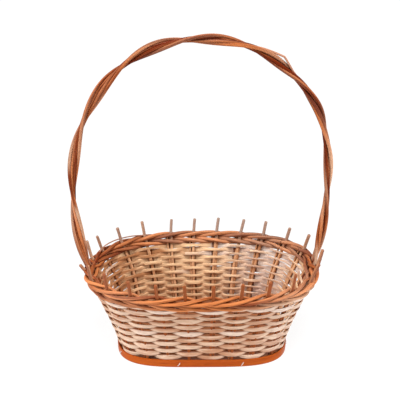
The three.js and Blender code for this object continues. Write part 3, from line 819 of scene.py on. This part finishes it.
class BASKET_OT_stakes(bpy.types.Operator):
    """Sets up the stakes, each with its bud marks and its cut tip"""

    bl_idname = "basket.stakes"
    bl_label = "Stakes"

    SEED = 100
    RINGS = 150
    BY_STAKE_RINGS = 90
    BY_STAKE_SHARE = 0.65
    BEVEL = 0.5 * MILLIMETRE
    BUDS = 3
    BUD_REACH = 1.6 * MILLIMETRE
    BUD_RISE = 0.2 * MILLIMETRE
    WALL_TONE = 0.25
    TIP_TONE = 0.8
    # Darker stretches round the wall: stake, reach in stakes and share.
    DARKER = ((2.5, 1.8, 0.6), (10.5, 1.5, 0.5))
    # Tips in millimetres: aside, which is to the right at the back, out of the wall, and longer.
    TIPS = {
        1: (9.5, 0.0, 0.0), 2: (8.0, 0.0, 0.0), 3: (5.0, 0.0, 0.0),
        4: (7.0, 0.0, 0.0), 5: (4.6, 0.0, 0.0), 6: (5.0, 0.0, 0.0), 7: (6.0, 0.0, 0.0),
        8: (-3.8, 0.0, -1.5), 9: (-7.5, 0.0, -1.5), 10: (-10.0, 0.0, -2.0),
        12: (0.0, 8.0, -15.0), 22: (0.0, 7.0, 6.0), 23: (0.0, 0.0, 7.0),
    }

    def execute(self, context):
        sizes = context.scene.basket_sizes
        finishes = context.scene.basket_finishes
        wall = Wall(sizes)
        colours = (finishes.rod_light, finishes.rod_dark, finishes)
        # The stakes carry painted shade on their side out of the wall and in their crevices.
        willow = willow_rod("stake_willow", *colours, coat=0.04, gather=0.7, outer_shade=1.0)
        for stake in range(STAKE_COUNT):
            random = np.random.default_rng(self.SEED + stake)
            strands = [self.stake(wall, stake, random)]
            if random.uniform() < self.BY_STAKE_SHARE:
                strands.append(self.by_stake(wall, stake, random))
            number = f"{stake + 1:02d}"
            add_strands(f"willow_stake_{number}", strands, willow, f"stake_{number}")
        return {"FINISHED"}

    def stake(self, wall, stake, random):
        """Rod up the middle of the wall, swollen at its buds by bell curves and dry above the rim.
        A tip is bent aside with the square of its height over the wall's middle, and leans out of the
        wall with the fourth power of it."""
        sizes = wall.sizes
        aside, lean, longer = (MILLIMETRE * part for part in self.TIPS.get(stake, (0.0, 0.0, 0.0)))
        tip = wall.stake_top(stake) + longer
        height = np.linspace(sizes.stake_foot, tip, self.RINGS)
        bent = np.clip((height - wall.weave_middle) / (tip - wall.weave_middle), 0.0, 1.0) ** 2
        sway = wobble(height, random, 0.25 * MILLIMETRE, wavelength=0.06) - aside * bent
        turn = wall.stake_turn(stake) + sway / wall.girth(height)
        path = wall.place(turn, height, lean * bent**2)
        along = wall.directions(turn, height)[0]
        dry = ease((height - wall.border_bottom) / (sizes.rim_height - wall.border_bottom))
        radius = sizes.stake_diameter / 2 * sizes.stake_swell * random.uniform(0.94, 1.08)
        buds = random.uniform(sizes.band_height, tip, self.BUDS)[:, None]
        swelling = self.BUD_RISE * np.exp(-((height - buds) / self.BUD_REACH) ** 2).sum(axis=0)
        radii = (radius + swelling) * end_cut(path, self.BEVEL)
        radii = radii + wobble(height, random, 0.05 * MILLIMETRE, wavelength=0.02)
        strand = Strand(path, along, radii, radii, random)
        tone = self.WALL_TONE * strand.tone + wall.bells(turn, self.DARKER)
        strand.tone = mix(tone, self.TIP_TONE, dry)
        behind = wall.behind(wall.stake_turn(stake))
        strand.bleach = dry * behind**1.5 * random.uniform(0.7, 1.0)
        return strand

    def by_stake(self, wall, stake, random):
        """Thinner rod beside a stake, from the band up into the border, under the same floats."""
        sizes = wall.sizes
        radius = sizes.by_stake / 2 * random.uniform(0.9, 1.1)
        top = sizes.rim_height - sizes.border_rod
        height = np.linspace(sizes.band_height, top, self.BY_STAKE_RINGS)
        beside = sizes.stake_diameter / 2 * sizes.stake_swell + radius
        side = 1.0 if stake % (STAKE_COUNT // 2) == 0 else random.choice((-1.0, 1.0))
        turn = wall.stake_turn(stake) + side * beside / wall.girth(height)
        path = wall.point(turn, height)
        along = wall.directions(turn, height)[0]
        strand = Strand(path, along, radius * end_cut(path, self.BEVEL), radius, random)
        strand.tone = self.WALL_TONE * strand.tone + wall.bells(turn, self.DARKER)
        return strand


class BASKET_OT_weave(bpy.types.Operator):
    """Weaves the rows of split willow in and out round the stakes"""

    bl_idname = "basket.weave"
    bl_label = "Weave Rows"

    SEED = 300
    RINGS_PER_STAKE = 24
    SQUARENESS = 2.7
    BEVEL = 1.0 * MILLIMETRE
    # Ends run past their stake, and the last one goes inside over a part of a stake's distance.
    LAP = 12 * MILLIMETRE
    LAP_START = 0.5
    LAP_FADE = 0.4
    # Reach of the painted shade on a split's pith side, to either side of the stake that it lies on.
    HOLE_SHADE = 2.9 * MILLIMETRE
    # Spread of the floats' lift, roll, width and tone, and of a whole row's width.
    LIFT = 0.28 * MILLIMETRE
    ROLL = 0.14
    FLOAT_WIDTH = 0.05
    FLOAT_TONE = 0.08
    ROW_WIDTH = 0.07
    # Taper of the floats at the front and at the back, and their drop in the lowest and highest row.
    TAPER = (2.0, 1.0)
    DROP = (1.5, 0.2)
    ROW_TONE = 0.8
    # Painted light: the low rows at the back are painted paler against the shade inside the basket.
    LOW_ROWS_PAINTED_LIGHT = 0.5
    INSIDE_BLEACH = 0.35
    PALE_SHARE = 0.12
    # Pale floats: row, first and last stake, and share. They fade over a part of a stake's distance.
    PALE = ((15, 1.0, 5.3, 0.95), (12, 1.2, 3.2, 0.8), (9, 1.6, 3.4, 0.8), (13, 4.2, 5.1, 0.5),
            (10, 4.3, 5.1, 0.4), (13, 9.7, 10.8, 0.7), (8, 6.1, 7.1, 0.5))
    FADE = 0.3
    # Browner, whiter and slimmer stretches round the wall: stake, reach in stakes and share.
    BROWN = ((11.0, 2.2, 1.0), (2.0, 1.8, 0.7), (6.0, 2.5, -0.4), (18.5, 2.0, 0.2), (14.0, 2.0, -0.4),
             (22.5, 2.0, -0.3))
    WHITE = ((14.0, 2.0, 0.15), (22.5, 2.0, 0.4), (2.6, 1.7, 0.85))
    SLIM_INSIDE = ((2.2, 2.2, -0.35), (11.2, 1.6, -0.3))
    SLIM_OUTSIDE = ((12.8, 1.4, -0.16), (23.2, 1.4, -0.16))

    def execute(self, context):
        sizes = context.scene.basket_sizes
        wall = Wall(sizes)
        willow = split_willow(context.scene.basket_finishes)
        for row in range(ROW_COUNT):
            random = np.random.default_rng(self.SEED + row)
            first = 2 * int(random.integers(0, STAKE_COUNT // 2)) + (row + 1) % 2
            second = first + 2 * int(random.integers(4, 9))
            splits = ((first, second), (second, first + STAKE_COUNT))
            strands = [self.split(wall, row, start, end, random) for start, end in splits]
            number = f"{row + 1:02d}"
            add_strands(f"weaver_{number}", strands, willow, f"weave_row_{number}")
        return {"FINISHED"}

    def split(self, wall, row, start, end, random):
        """One split that goes round from a stake to another, with both its ends inside the wall.

        Its distance from the wall's middle is held at a stake, out or in by turns, and runs to the next
        as half a cosine wave. Outside a stake the split is wider than inside, with more taper at the
        front, and each float has its own width, height and roll. The last end lies inside the next
        split's first end.
        """
        sizes = wall.sizes
        height = wall.weave_bottom + (row + 0.5) * wall.row_pitch
        spacing = wall.girth(height) / STAKE_COUNT
        lap = self.LAP / spacing
        place = np.linspace(start - lap, end + lap, self.RINGS_PER_STAKE * (end - start))
        stake = np.floor(place).astype(int)
        past = (place - stake) * spacing
        by_handle = height > sizes.rim_height - sizes.handle_push - wall.row_pitch
        reach = np.full(STAKE_COUNT, sizes.weaver_flat)
        if by_handle:
            # A row as high as the handle's feet has crossed before it reaches them.
            reach[[0, STAKE_COUNT // 2]] = wall.foot_reach
        before = reach[(stake + 1) % STAKE_COUNT]
        crossing = ease((past - sizes.weaver_flat) / (spacing - sizes.weaver_flat - before))
        side = np.where((row + stake) % 2 == 0, 1.0, -1.0)
        swing = side * (1.0 - 2.0 * crossing)
        held = swing**2
        nearest = np.round(place).astype(int) - start + 1
        floats = end - start + 3
        along = place * spacing
        near = np.abs(place - np.round(place)) * spacing
        lapped = ease((place - (end - self.LAP_START)) / self.LAP_FADE)
        out = swing * sizes.weaver_offset - lapped * (sizes.weaver_thickness + sizes.clearance)
        lift = random.normal(0.0, self.LIFT, floats)[nearest] * held
        turn = wall.stake_turn(place)
        behind = wall.behind(turn)
        outside = (1.0 + swing) / 2
        row_share = row / (ROW_COUNT - 1)
        drop = sizes.float_drop * mix(*self.DROP, row_share**2)
        lift = lift - drop * behind * np.clip(swing, 0.0, 1.0)
        level = height + lift + wobble(along, random, 0.3 * MILLIMETRE, wavelength=0.07)
        level = level + wall.sag(turn) * ((row + 0.5) / ROW_COUNT) ** 3
        path = wall.place(turn, level, out)
        upward, outward = wall.directions(turn, level)[1:]
        roll = random.normal(0.0, self.ROLL, floats)[nearest] * held
        row_width = np.clip(random.normal(1.0, self.ROW_WIDTH), 0.9, 1.2)
        spread = row_width * random.normal(1.0, self.FLOAT_WIDTH, floats)[nearest]
        width = wall.row_pitch * mix(1.0, spread, held)
        outer_width = sizes.outer_width * mix(1.0, sizes.outer_spread, behind)
        outer_width = outer_width * (1.0 + wall.bells(turn, self.SLIM_OUTSIDE))
        inner_width = sizes.inner_width * (1.0 + wall.bells(turn, self.SLIM_INSIDE))
        width = width * mix(inner_width, outer_width, outside ** mix(*self.TAPER, behind))
        width = width * (1.0 + wobble(along, random, 0.05, wavelength=0.12)) * end_cut(path, self.BEVEL)
        thickness = sizes.weaver_thickness * (1.0 + wobble(along, random, 0.06, wavelength=0.09))
        reference = upward + outward * roll[:, None]
        strand = Strand(path, reference, width / 2, thickness / 2, random, self.SQUARENESS)
        tone = self.ROW_TONE * strand.tone + wobble(along, random, 0.12, wavelength=0.25)
        # Painted light: paler low rows at the back.
        tone = tone - self.LOW_ROWS_PAINTED_LIGHT * behind * (1.0 - row_share) + wall.bells(turn, self.BROWN)
        tone = tone + random.normal(0.0, self.FLOAT_TONE, floats)[nearest] * held
        strand.tone = np.clip(tone, 0.0, 1.0)
        bleach = random.uniform(0.4, 0.9) * (random.uniform() < self.PALE_SHARE)
        strand.bleach = np.maximum(bleach, wall.bells(turn, self.WHITE))
        at = place % STAKE_COUNT
        for pale_row, pale_start, pale_end, share in self.PALE:
            if row == pale_row:
                pale = share * ease((at - pale_start) / self.FADE) * ease((pale_end - at) / self.FADE)
                strand.bleach = np.maximum(strand.bleach, pale)
        strand.bleach = strand.bleach * mix(self.INSIDE_BLEACH, 1.0, outside)
        # Share of painted shade: above 0 where the split passes behind a stake, seen on its bark side, and
        # below 0 beside a stake that it lies outside, seen on its pith side.
        strand.recess = np.where(swing > 0.0, ease((near - self.HOLE_SHADE) / self.HOLE_SHADE) - 1.0, -swing)
        return strand


class BASKET_OT_border(bpy.types.Operator):
    """Wales the two rounds of rods that close the rim"""

    bl_idname = "basket.border"
    bl_label = "Border Rods"

    SEED = 500
    LOOSE_RADIUS = 0.95 * MILLIMETRE
    # The loose rod's places: stake, and height above the rim in millimetres.
    LOOSE = ((10.6, -7.0), (10.25, -3.5), (9.9, -0.4), (9.4, 1.5), (8.8, 1.7), (8.2, 0.2), (7.3, -3.0))
    TONES = {"lower": (0.35, 0.65, 0.5), "upper": (0.3, 0.75, 0.5)}
    # Darker, tucked in, and pale stretches of peel and painted highlight: stake, reach in stakes, and share
    # or millimetres.
    DARKER = ((10.8, 1.8, 0.3), (23.3, 1.2, 0.3), (0.0, 0.8, 0.2), (5.0, 3.5, -0.2),
              (2.5, 1.8, 0.25), (15.5, 2.5, -0.25), (20.5, 2.5, -0.25))
    TUCKED = ((22.9, 1.1, -2.2), (13.2, 1.0, -1.2))
    PEEL_AND_HIGHLIGHT = {
        "lower": ((15.0, 1.6, 0.25), (21.3, 1.8, 0.9), (5.5, 3.0, 0.35), (2.0, 1.5, 0.4)),
        "upper": ((5.5, 3.0, 0.25), (14.5, 1.2, 0.2), (21.0, 1.2, 0.3), (2.0, 1.5, 0.3)),
    }

    def execute(self, context):
        sizes = context.scene.basket_sizes
        finishes = context.scene.basket_finishes
        wall = Wall(sizes)
        colours = (finishes.border_light, finishes.border_dark, finishes)
        willow = willow_rod("border_willow", *colours, coat=0.05, gather=0.9)
        for turn_round, name in enumerate(BORDER_ROUNDS):
            for rod in range(RODS_PER_ROUND):
                random = np.random.default_rng(self.SEED + 10 * turn_round + rod)
                strands = [self.rod(wall, name, rod, random)]
                if (name, rod) == (BORDER_ROUNDS[-1], 0):
                    strands.append(self.loose(wall, random))
                number = f"{name}_{rod + 1}"
                add_strands(f"border_rod_{number}", strands, willow, f"border_{number}")
        return {"FINISHED"}

    def loose(self, wall, random):
        """Thin rod that has sprung up from the border at the back, in the middle of the wall."""
        stake, above = np.array(self.LOOSE).T
        level = wall.sizes.rim_height + above * MILLIMETRE
        stops = wall.place(wall.stake_turn(stake), level)
        return loose_rod(stops, UPRIGHT, self.LOOSE_RADIUS, random)

    def rod(self, wall, name, rod, random):
        """One rod of a round: outside two stakes and inside the third, a curve through its places
        at the stakes and between them. The upper round climbs outside the wall and the lower one drops."""
        sizes = wall.sizes
        radius = sizes.border_rod / 2
        top = sizes.rim_height - radius
        upper = name == "upper"
        entry = top - wall.border_step if upper else top - 2 * wall.border_step
        leave = top if upper else top - 3 * wall.border_step
        between = (entry + leave) / 2
        out_here = np.array([wall.border_offset, wall.border_offset, -wall.border_offset])
        level_here = np.array([entry, leave, between])
        out_next = np.array([wall.border_offset + sizes.border_bulge, 0.0, 0.0])
        level_next = np.array([between, leave, entry])
        first = (-rod - 1) % RODS_PER_ROUND
        stake = np.arange(first, first + STAKE_COUNT + 1)
        phase = (stake + rod) % RODS_PER_ROUND
        ends = stake % (STAKE_COUNT // 2) == 0
        girth = wall.girth(between)
        turn_here = wall.stake_turn(stake)
        reach = np.where(ends, wall.foot_reach / girth, 0.0)
        turn_next = (turn_here[:-1] + turn_here[1:] - reach[1:]) / 2
        here = np.stack([turn_here, out_here[phase], level_here[phase]], axis=1)
        aside = np.stack([reach, 0 * reach, 0 * reach], axis=1)
        after = np.stack([turn_next, out_next[phase[:-1]], level_next[phase[:-1]]], axis=1)
        stops = np.concatenate([(here - aside)[ends], (here - aside / 2)[ends], here, after])
        stops = stops[np.argsort(stops[:, 0], kind="stable")]
        scale = np.array([girth, 1.0, 1.0])
        turn, out, level = (resample(curve_through(stops * scale), ROD_STEP) / scale).T
        behind = wall.behind(turn)
        apart = 0.0 if upper else sizes.border_split * (1.0 - behind)
        level = level + wall.sag(turn) - apart
        out = out + MILLIMETRE * wall.bells(turn, self.TUCKED)
        path = wall.place(turn, level, out)
        upward = wall.directions(turn, level)[1]
        along = distances(path)
        swell = mix(sizes.border_swell, sizes.border_fill, behind)
        radii = radius * swell * (1.0 + wobble(along, random, 0.03, wavelength=0.06))
        radii = radii * end_cut(path, ROD_BEVEL)
        strand = Strand(path, upward, radii, radii, random)
        tone = self.TONES[name][rod] + wobble(along, random, 0.2, wavelength=0.2)
        strand.tone = np.clip(tone + wall.bells(turn, self.DARKER), 0.0, 1.0)
        # Pale peel, with painted highlights on the rods at the back.
        strand.recess = random.uniform(0.6, 1.0) * wall.bells(turn, self.PEEL_AND_HIGHLIGHT[name])
        return strand


class BASKET_OT_handle(bpy.types.Operator):
    """Twists the handle's rods together and pushes their ends into the rim"""

    bl_idname = "basket.handle"
    bl_label = "Handle Rods"

    SEED = 700
    SIDES = 16
    STEP = 2.2 * MILLIMETRE
    LEG_STEPS = 200
    ARCH_STEPS = 400
    # Stops of a rod's curve over the handle and down a foot, and how many are left out between them.
    STOPS = 160
    FOOT_STOPS = 8
    LEFT_OUT = 2
    SLOPE_REACH = 1.0 * MILLIMETRE
    # Shares of the way over the handle where the ribbon and its tones turn to those of the right side.
    RIGHT_START = 0.43
    RIGHT_TONE_START = 0.45
    RIGHT_FADE = 0.2
    FOOT_FADE = 0.08
    # Tones of the four rods on the left, at the crown, where they are darker as painted shade,
    # and on the right; and their shares of peel and painted highlight.
    TONES = (0.5, 0.42, 0.2, 0.8)
    CROWN_SHADE_TONES = (0.52, 0.46, 0.78, 0.8)
    CROWN_FADE = 0.6
    RIGHT_TONE = 0.18
    PEEL_AND_HIGHLIGHT = (0.4, 0.6, 0.2, 0.0)
    PEEL_AND_HIGHLIGHT_RIGHT = (0.35, 0.8, 0.35, 0.0)
    CROWN_PALE_CUT = 0.7
    # Bends of the centre line as bell curves: share of the way, reach, and millimetres outwards.
    DENTS = ((0.1, 0.06, -0.8), (0.29, 0.03, -0.8), (0.637, 0.03, -1.6), (0.727, 0.025, 1.3),
             (0.83, 0.04, -0.6))
    LOOSE_RADIUS = 1.4 * MILLIMETRE
    # The loose rod's places: share of the way, and millimetres out of the centre line.
    LOOSE = ((0.555, 0.5), (0.578, 2.0), (0.6, 5.4), (0.624, 9.8), (0.63, 9.8), (0.652, 3.5), (0.67, 0.0))

    def execute(self, context):
        sizes = context.scene.basket_sizes
        finishes = context.scene.basket_finishes
        wall = Wall(sizes)
        colours = (finishes.handle_light, finishes.handle_dark, finishes)
        willow = willow_rod("handle_willow", *colours, coat=0.05, gather=0.5)
        for rod in range(len(HANDLE_PLACES)):
            random = np.random.default_rng(self.SEED + rod)
            strands = [self.rod(wall, rod, random)]
            if rod == 0:
                strands.append(self.loose(wall, random))
            add_strands(f"twisted_rod_{rod + 1}", strands, willow, f"handle_rod_{rod + 1}")
        return {"FINISHED"}

    def loose(self, wall, random):
        """Thin rod that has sprung out of the ribbon on the right."""
        share, out = np.array(self.LOOSE).T
        line, right = self.line(wall)
        centre, outward = self.centre(line, right, share)
        stops = centre + outward * out[:, None] * MILLIMETRE
        return loose_rod(stops, np.cross(right, UPRIGHT), self.LOOSE_RADIUS, random)

    def centre(self, line, right, share):
        """Points of the centre line at some shares of its way, and the directions out of it there."""
        along = distances(line)

        def spots(distance):
            return np.stack([np.interp(distance, along, line[:, axis]) for axis in (0, 1)], axis=1)

        def upright_plane(flat):
            return flat[:, :1] * right + flat[:, 1:] * UPRIGHT

        distance = share * along[-1]
        ahead = unit(spots(distance + self.SLOPE_REACH) - spots(distance - self.SLOPE_REACH))
        outward = np.stack([-ahead[:, 1], ahead[:, 0]], axis=1)
        return upright_plane(spots(distance)), upright_plane(outward)

    def line(self, wall):
        """Centre line from the left foot over the crown to the right foot, as reach and height in its
        upright plane, and the direction of that plane. Each leg is a parabola from the foot out to the
        widest place, the arch is a superellipse, and a few bends are added as bell curves."""
        sizes = wall.sizes
        foot_turn = wall.first_turn - wall.foot_from_stake / wall.girth(sizes.rim_height)
        foot = wall.point(np.array(foot_turn), np.array(sizes.rim_height))
        right = unit(np.array([foot[0], foot[1], 0.0]))
        foot_reach = math.hypot(foot[0], foot[1])
        below = np.linspace(1.0, 0.0, self.LEG_STEPS)[:-1]
        angle = np.linspace(0.0, np.pi / 2, self.ARCH_STEPS)
        shapes = (
            (sizes.handle_roundness, sizes.handle_left_height, sizes.handle_shift),
            (sizes.handle_fullness, sizes.handle_right_height, -sizes.handle_shift),
        )
        sides = []
        for power, widest, shift in shapes:
            half = sizes.handle_spread / 2 + shift
            leg_reach = half - (half - foot_reach) * below**2
            rise = sizes.handle_crown - widest
            radius = ((np.cos(angle) / half) ** power + (np.sin(angle) / rise) ** power) ** (-1 / power)
            leg_height = mix(widest, sizes.rim_height, below)
            reach = np.concatenate([leg_reach, radius * np.cos(angle)])
            height = np.concatenate([leg_height, widest + radius * np.sin(angle)])
            sides.append((reach, height))
        (left_reach, left_height), (right_reach, right_height) = sides
        reach = np.concatenate([-left_reach, right_reach[-2::-1]])
        height = np.concatenate([left_height, right_height[-2::-1]])
        line = np.stack([reach, height], axis=1)
        share = distances(line)
        share = share / share[-1]
        ahead = unit(np.gradient(line, axis=0))
        outward = np.stack([-ahead[:, 1], ahead[:, 0]], axis=1)
        dents = [out * np.exp(-((share - middle) / width) ** 2) for middle, width, out in self.DENTS]
        return line + outward * MILLIMETRE * sum(dents)[:, None], right

    def rod(self, wall, rod, random):
        """One rod: up from its left foot, round the centre line with the twist, and down to its right foot.

        The ribbon leaves each foot edge-on to the front. Its angle grows with the distance, less half a
        sine wave for the crown and a whole one for the two sides. Above the feet the rods gather from
        a row into a zigzag, which is slimmer and deeper on the right.
        """
        sizes = wall.sizes
        line, right = self.line(wall)
        front = np.array([right[1], -right[0], 0.0])
        share = np.linspace(0.0, 1.0, self.STOPS)[self.LEFT_OUT:-self.LEFT_OUT]
        centre, outward = self.centre(line, right, share)
        lag = sizes.handle_turn_lag * np.sin(np.pi * share)
        lag = lag + sizes.handle_turn_sway * np.sin(2 * np.pi * share)
        angle = np.pi / 2 - 2 * np.pi * sizes.handle_turns * (share - lag)
        from_foot = distances(line)[-1] * np.minimum(share, 1.0 - share)
        slant = sizes.handle_zigzag * ease(from_foot / sizes.handle_gather)
        wide, thick = HANDLE_PLACES[rod]
        right_side = ease((share - self.RIGHT_START) / self.RIGHT_FADE)
        right_side = right_side * ease((1.0 - share) / self.FOOT_FADE)
        narrow = sizes.handle_narrow * mix(1.0, sizes.handle_slim, right_side)
        thin = sizes.handle_thin * mix(1.0, sizes.handle_deep, right_side)
        across = wide * wall.handle_pair * narrow * np.cos(slant)
        through = thick * wall.handle_pair * thin * np.sin(slant)
        to_out = across * np.cos(angle) - through * np.sin(angle)
        to_front = across * np.sin(angle) + through * np.cos(angle)
        arch = centre + outward * to_out[:, None] + front * to_front[:, None]
        left_foot = self.foot(wall, rod, STAKE_COUNT // 2)
        right_foot = self.foot(wall, rod, 0)[::-1]
        stops = np.concatenate([left_foot, arch, right_foot])
        path = resample(curve_through(stops), self.STEP)
        run = distances(path)
        radii = sizes.handle_rod / 2 * sizes.handle_swell * end_cut(path, ROD_BEVEL)
        radii = radii * (1.0 + wobble(run, random, 0.03, wavelength=0.08))
        strand = Strand(path, front, radii, radii, random, sides=self.SIDES)
        # Painted shade: the rods are darker towards the crown.
        shoulder = sizes.handle_right_height
        crown = ease((path[:, 2] - shoulder) / (self.CROWN_FADE * (sizes.handle_crown - shoulder)))
        right_half = ease((run / run[-1] - self.RIGHT_TONE_START) / self.RIGHT_FADE)
        tone = mix(self.TONES[rod], self.CROWN_SHADE_TONES[rod], crown) + self.RIGHT_TONE * right_half
        strand.tone = np.clip(tone + wobble(run, random, 0.15, wavelength=0.2), 0.0, 1.0)
        # Peel and painted highlight, cut back at the crown.
        peeled = mix(self.PEEL_AND_HIGHLIGHT[rod], self.PEEL_AND_HIGHLIGHT_RIGHT[rod], right_half)
        peeled = peeled * (1.0 - self.CROWN_PALE_CUT * crown)
        strand.recess = peeled * ease(0.5 + wobble(run, random, 0.5, wavelength=0.15))
        return strand

    def foot(self, wall, rod, stake):
        """Lowest part of a rod, lowest point first, in the middle of the wall beside its end stake."""
        sizes = wall.sizes
        from_stake = HANDLE_PLACES[rod][0] * wall.handle_pair - wall.foot_from_stake
        height = np.linspace(sizes.rim_height - sizes.handle_push, sizes.rim_height, self.FOOT_STOPS)
        return wall.point(wall.stake_turn(stake) + from_stake / wall.girth(height), height)


# Stage.


def seen_rays(tree):
    """1 for rays that end in the picture, straight from the camera, in a reflection or through glass."""
    rays = tree.nodes.new("ShaderNodeLightPath").outputs
    seen = rays["Is Camera Ray"]
    for ray in ("Is Glossy Ray", "Is Transmission Ray"):
        either = tree.nodes.new("ShaderNodeMath")
        either.operation = "MAXIMUM"
        tree.links.new(seen, either.inputs[0])
        tree.links.new(rays[ray], either.inputs[1])
        seen = either.outputs[0]
    return seen


class BASKET_OT_stage(bpy.types.Operator):
    """Sets up the floor, the lamps and the camera"""

    bl_idname = "basket.stage"
    bl_label = "Stage"

    # Place and width of each lamp, in metres.
    LAMPS = {
        "key": ((-1.6, -0.45, 1.0), 1.2),
        "fill": ((1.6, -0.45, 0.6), 1.2),
        "top": ((0.1, -0.65, 2.1), 1.0),
    }
    FLOOR_CORNERS = 96
    FLOOR_ROUGHNESS = 0.9
    FLOOR_GLOW = 1.05
    # Distances from the basket's middle between which the floor's glow rises, and its shares there.
    SHADOW_REACH = (0.1, 0.6)
    GLOW_SHARES = (0.84, 1.0)
    SENSOR_WIDTH = 36.0

    def execute(self, context):
        stage = context.scene.basket_stage
        context.scene.view_settings.view_transform = "Standard"
        self.floor(stage)
        self.world(context.scene, stage)
        for name, (place, width) in self.LAMPS.items():
            self.lamp(f"{name}_lamp", place, width, getattr(stage, f"{name}_power"), stage)
        self.camera(context.scene, stage)
        return {"FINISHED"}

    def floor(self, stage):
        """Round floor, see-through from below. To the camera it is mostly white light of its own,
        less so near the basket, where the rest is lit paper that keeps the shadow."""
        turn = 2 * np.pi * np.arange(self.FLOOR_CORNERS) / self.FLOOR_CORNERS
        rim = stage.floor_radius * np.stack([np.cos(turn), np.sin(turn), 0 * turn], axis=1)
        mesh = bpy.data.meshes.new("floor")
        mesh.from_pydata(rim.tolist(), [], [list(range(len(rim)))])
        recipe = Recipe("floor_paper")
        recipe.feed(recipe.shader.inputs["Base Color"], (*stage.floor_colour, 1.0))
        recipe.feed(recipe.shader.inputs["Roughness"], self.FLOOR_ROUGHNESS)
        glow = recipe.node("ShaderNodeEmission", Color=(1.0, 1.0, 1.0, 1.0), Strength=self.FLOOR_GLOW)
        place = recipe.node("ShaderNodeTexCoord", output=3)
        away = recipe.node("ShaderNodeVectorMath", output=1, settings={"operation": "LENGTH"}, i0=place)
        share = recipe.stretch(away, *self.SHADOW_REACH, *self.GLOW_SHARES)
        share = recipe.combine(seen_rays(recipe.tree), share, "MULTIPLY")
        paper = recipe.node("ShaderNodeMixShader", i0=share, i1=recipe.shader.outputs[0], i2=glow)
        below = recipe.node("ShaderNodeNewGeometry", output=6)
        clear = recipe.node("ShaderNodeBsdfTransparent")
        both = recipe.node("ShaderNodeMixShader", i0=below, i1=paper, i2=clear)
        recipe.feed(recipe.tree.nodes["Material Output"].inputs["Surface"], both)
        mesh.materials.append(recipe.material)
        floor = bpy.data.objects.new("floor", mesh)
        bpy.context.scene.collection.objects.link(floor)

    def world(self, scene, stage):
        """Even light from all around, white to the camera and in reflections."""
        world = bpy.data.worlds.new("studio")
        world.use_nodes = True
        scene.world = world
        tree = world.node_tree
        strength = tree.nodes.new("ShaderNodeMapRange")
        strength.inputs["To Min"].default_value = stage.world_strength
        strength.inputs["To Max"].default_value = 1.0
        tree.links.new(seen_rays(tree), strength.inputs["Value"])
        background = tree.nodes["Background"]
        background.inputs["Color"].default_value = (1.0, 1.0, 1.0, 1.0)
        tree.links.new(strength.outputs[0], background.inputs["Strength"])

    def lamp(self, name, place, size, power, stage):
        """Square soft lamp turned to the basket."""
        light = bpy.data.lights.new(name, "AREA")
        light.size = size
        light.energy = power
        lamp = bpy.data.objects.new(name, light)
        lamp.location = place
        self.look_at(lamp, stage)
        bpy.context.scene.collection.objects.link(lamp)

    def camera(self, scene, stage):
        """Camera at its distance, elevation and turn round the target."""
        data = bpy.data.cameras.new("camera")
        data.lens = stage.focal_length
        data.sensor_width = self.SENSOR_WIDTH
        data.shift_x = stage.shift
        camera = bpy.data.objects.new("camera", data)
        elevation = math.radians(stage.camera_elevation)
        turn = math.radians(stage.camera_turn)
        level = stage.camera_distance * math.cos(elevation)
        camera.location = (
            level * math.sin(turn),
            -level * math.cos(turn),
            stage.target_height + stage.camera_distance * math.sin(elevation),
        )
        self.look_at(camera, stage)
        scene.collection.objects.link(camera)
        scene.camera = camera

    @staticmethod
    def look_at(thing, stage):
        """Turns a lamp or the camera to the target."""
        target = Vector((0.0, 0.0, stage.target_height))
        thing.rotation_euler = (target - thing.location).to_track_quat("-Z", "Y").to_euler()


# Panel and registration.

OPERATORS = (
    BASKET_OT_board,
    BASKET_OT_band,
    BASKET_OT_staples,
    BASKET_OT_stakes,
    BASKET_OT_weave,
    BASKET_OT_border,
    BASKET_OT_handle,
    BASKET_OT_stage,
)


class BASKET_PT_panel(bpy.types.Panel):
    """Lists the basket's pieces, sizes and finishes"""

    bl_idname = "BASKET_PT_panel"
    bl_label = "Wicker Basket"
    bl_space_type = "VIEW_3D"
    bl_region_type = "UI"
    bl_category = "Basket"

    def draw(self, context):
        scene = context.scene
        for operator in OPERATORS:
            self.layout.operator(operator.bl_idname)
        for group in (scene.basket_sizes, scene.basket_finishes, scene.basket_stage):
            box = self.layout.box()
            for name in group.__annotations__:
                box.prop(group, name)


CLASSES = (BasketSizes, BasketFinishes, BasketStage, *OPERATORS, BASKET_PT_panel)


def register():
    for kind in CLASSES:
        bpy.utils.register_class(kind)
    bpy.types.Scene.basket_sizes = PointerProperty(type=BasketSizes)
    bpy.types.Scene.basket_finishes = PointerProperty(type=BasketFinishes)
    bpy.types.Scene.basket_stage = PointerProperty(type=BasketStage)


def unregister():
    del bpy.types.Scene.basket_stage
    del bpy.types.Scene.basket_finishes
    del bpy.types.Scene.basket_sizes
    for kind in reversed(CLASSES):
        bpy.utils.unregister_class(kind)


def main():
    register()
    bpy.ops.basket.board()
    bpy.ops.basket.band()
    bpy.ops.basket.staples()
    bpy.ops.basket.stakes()
    bpy.ops.basket.weave()
    bpy.ops.basket.border()
    bpy.ops.basket.handle()
    bpy.ops.basket.stage()


if __name__ == "__main__":
    main()
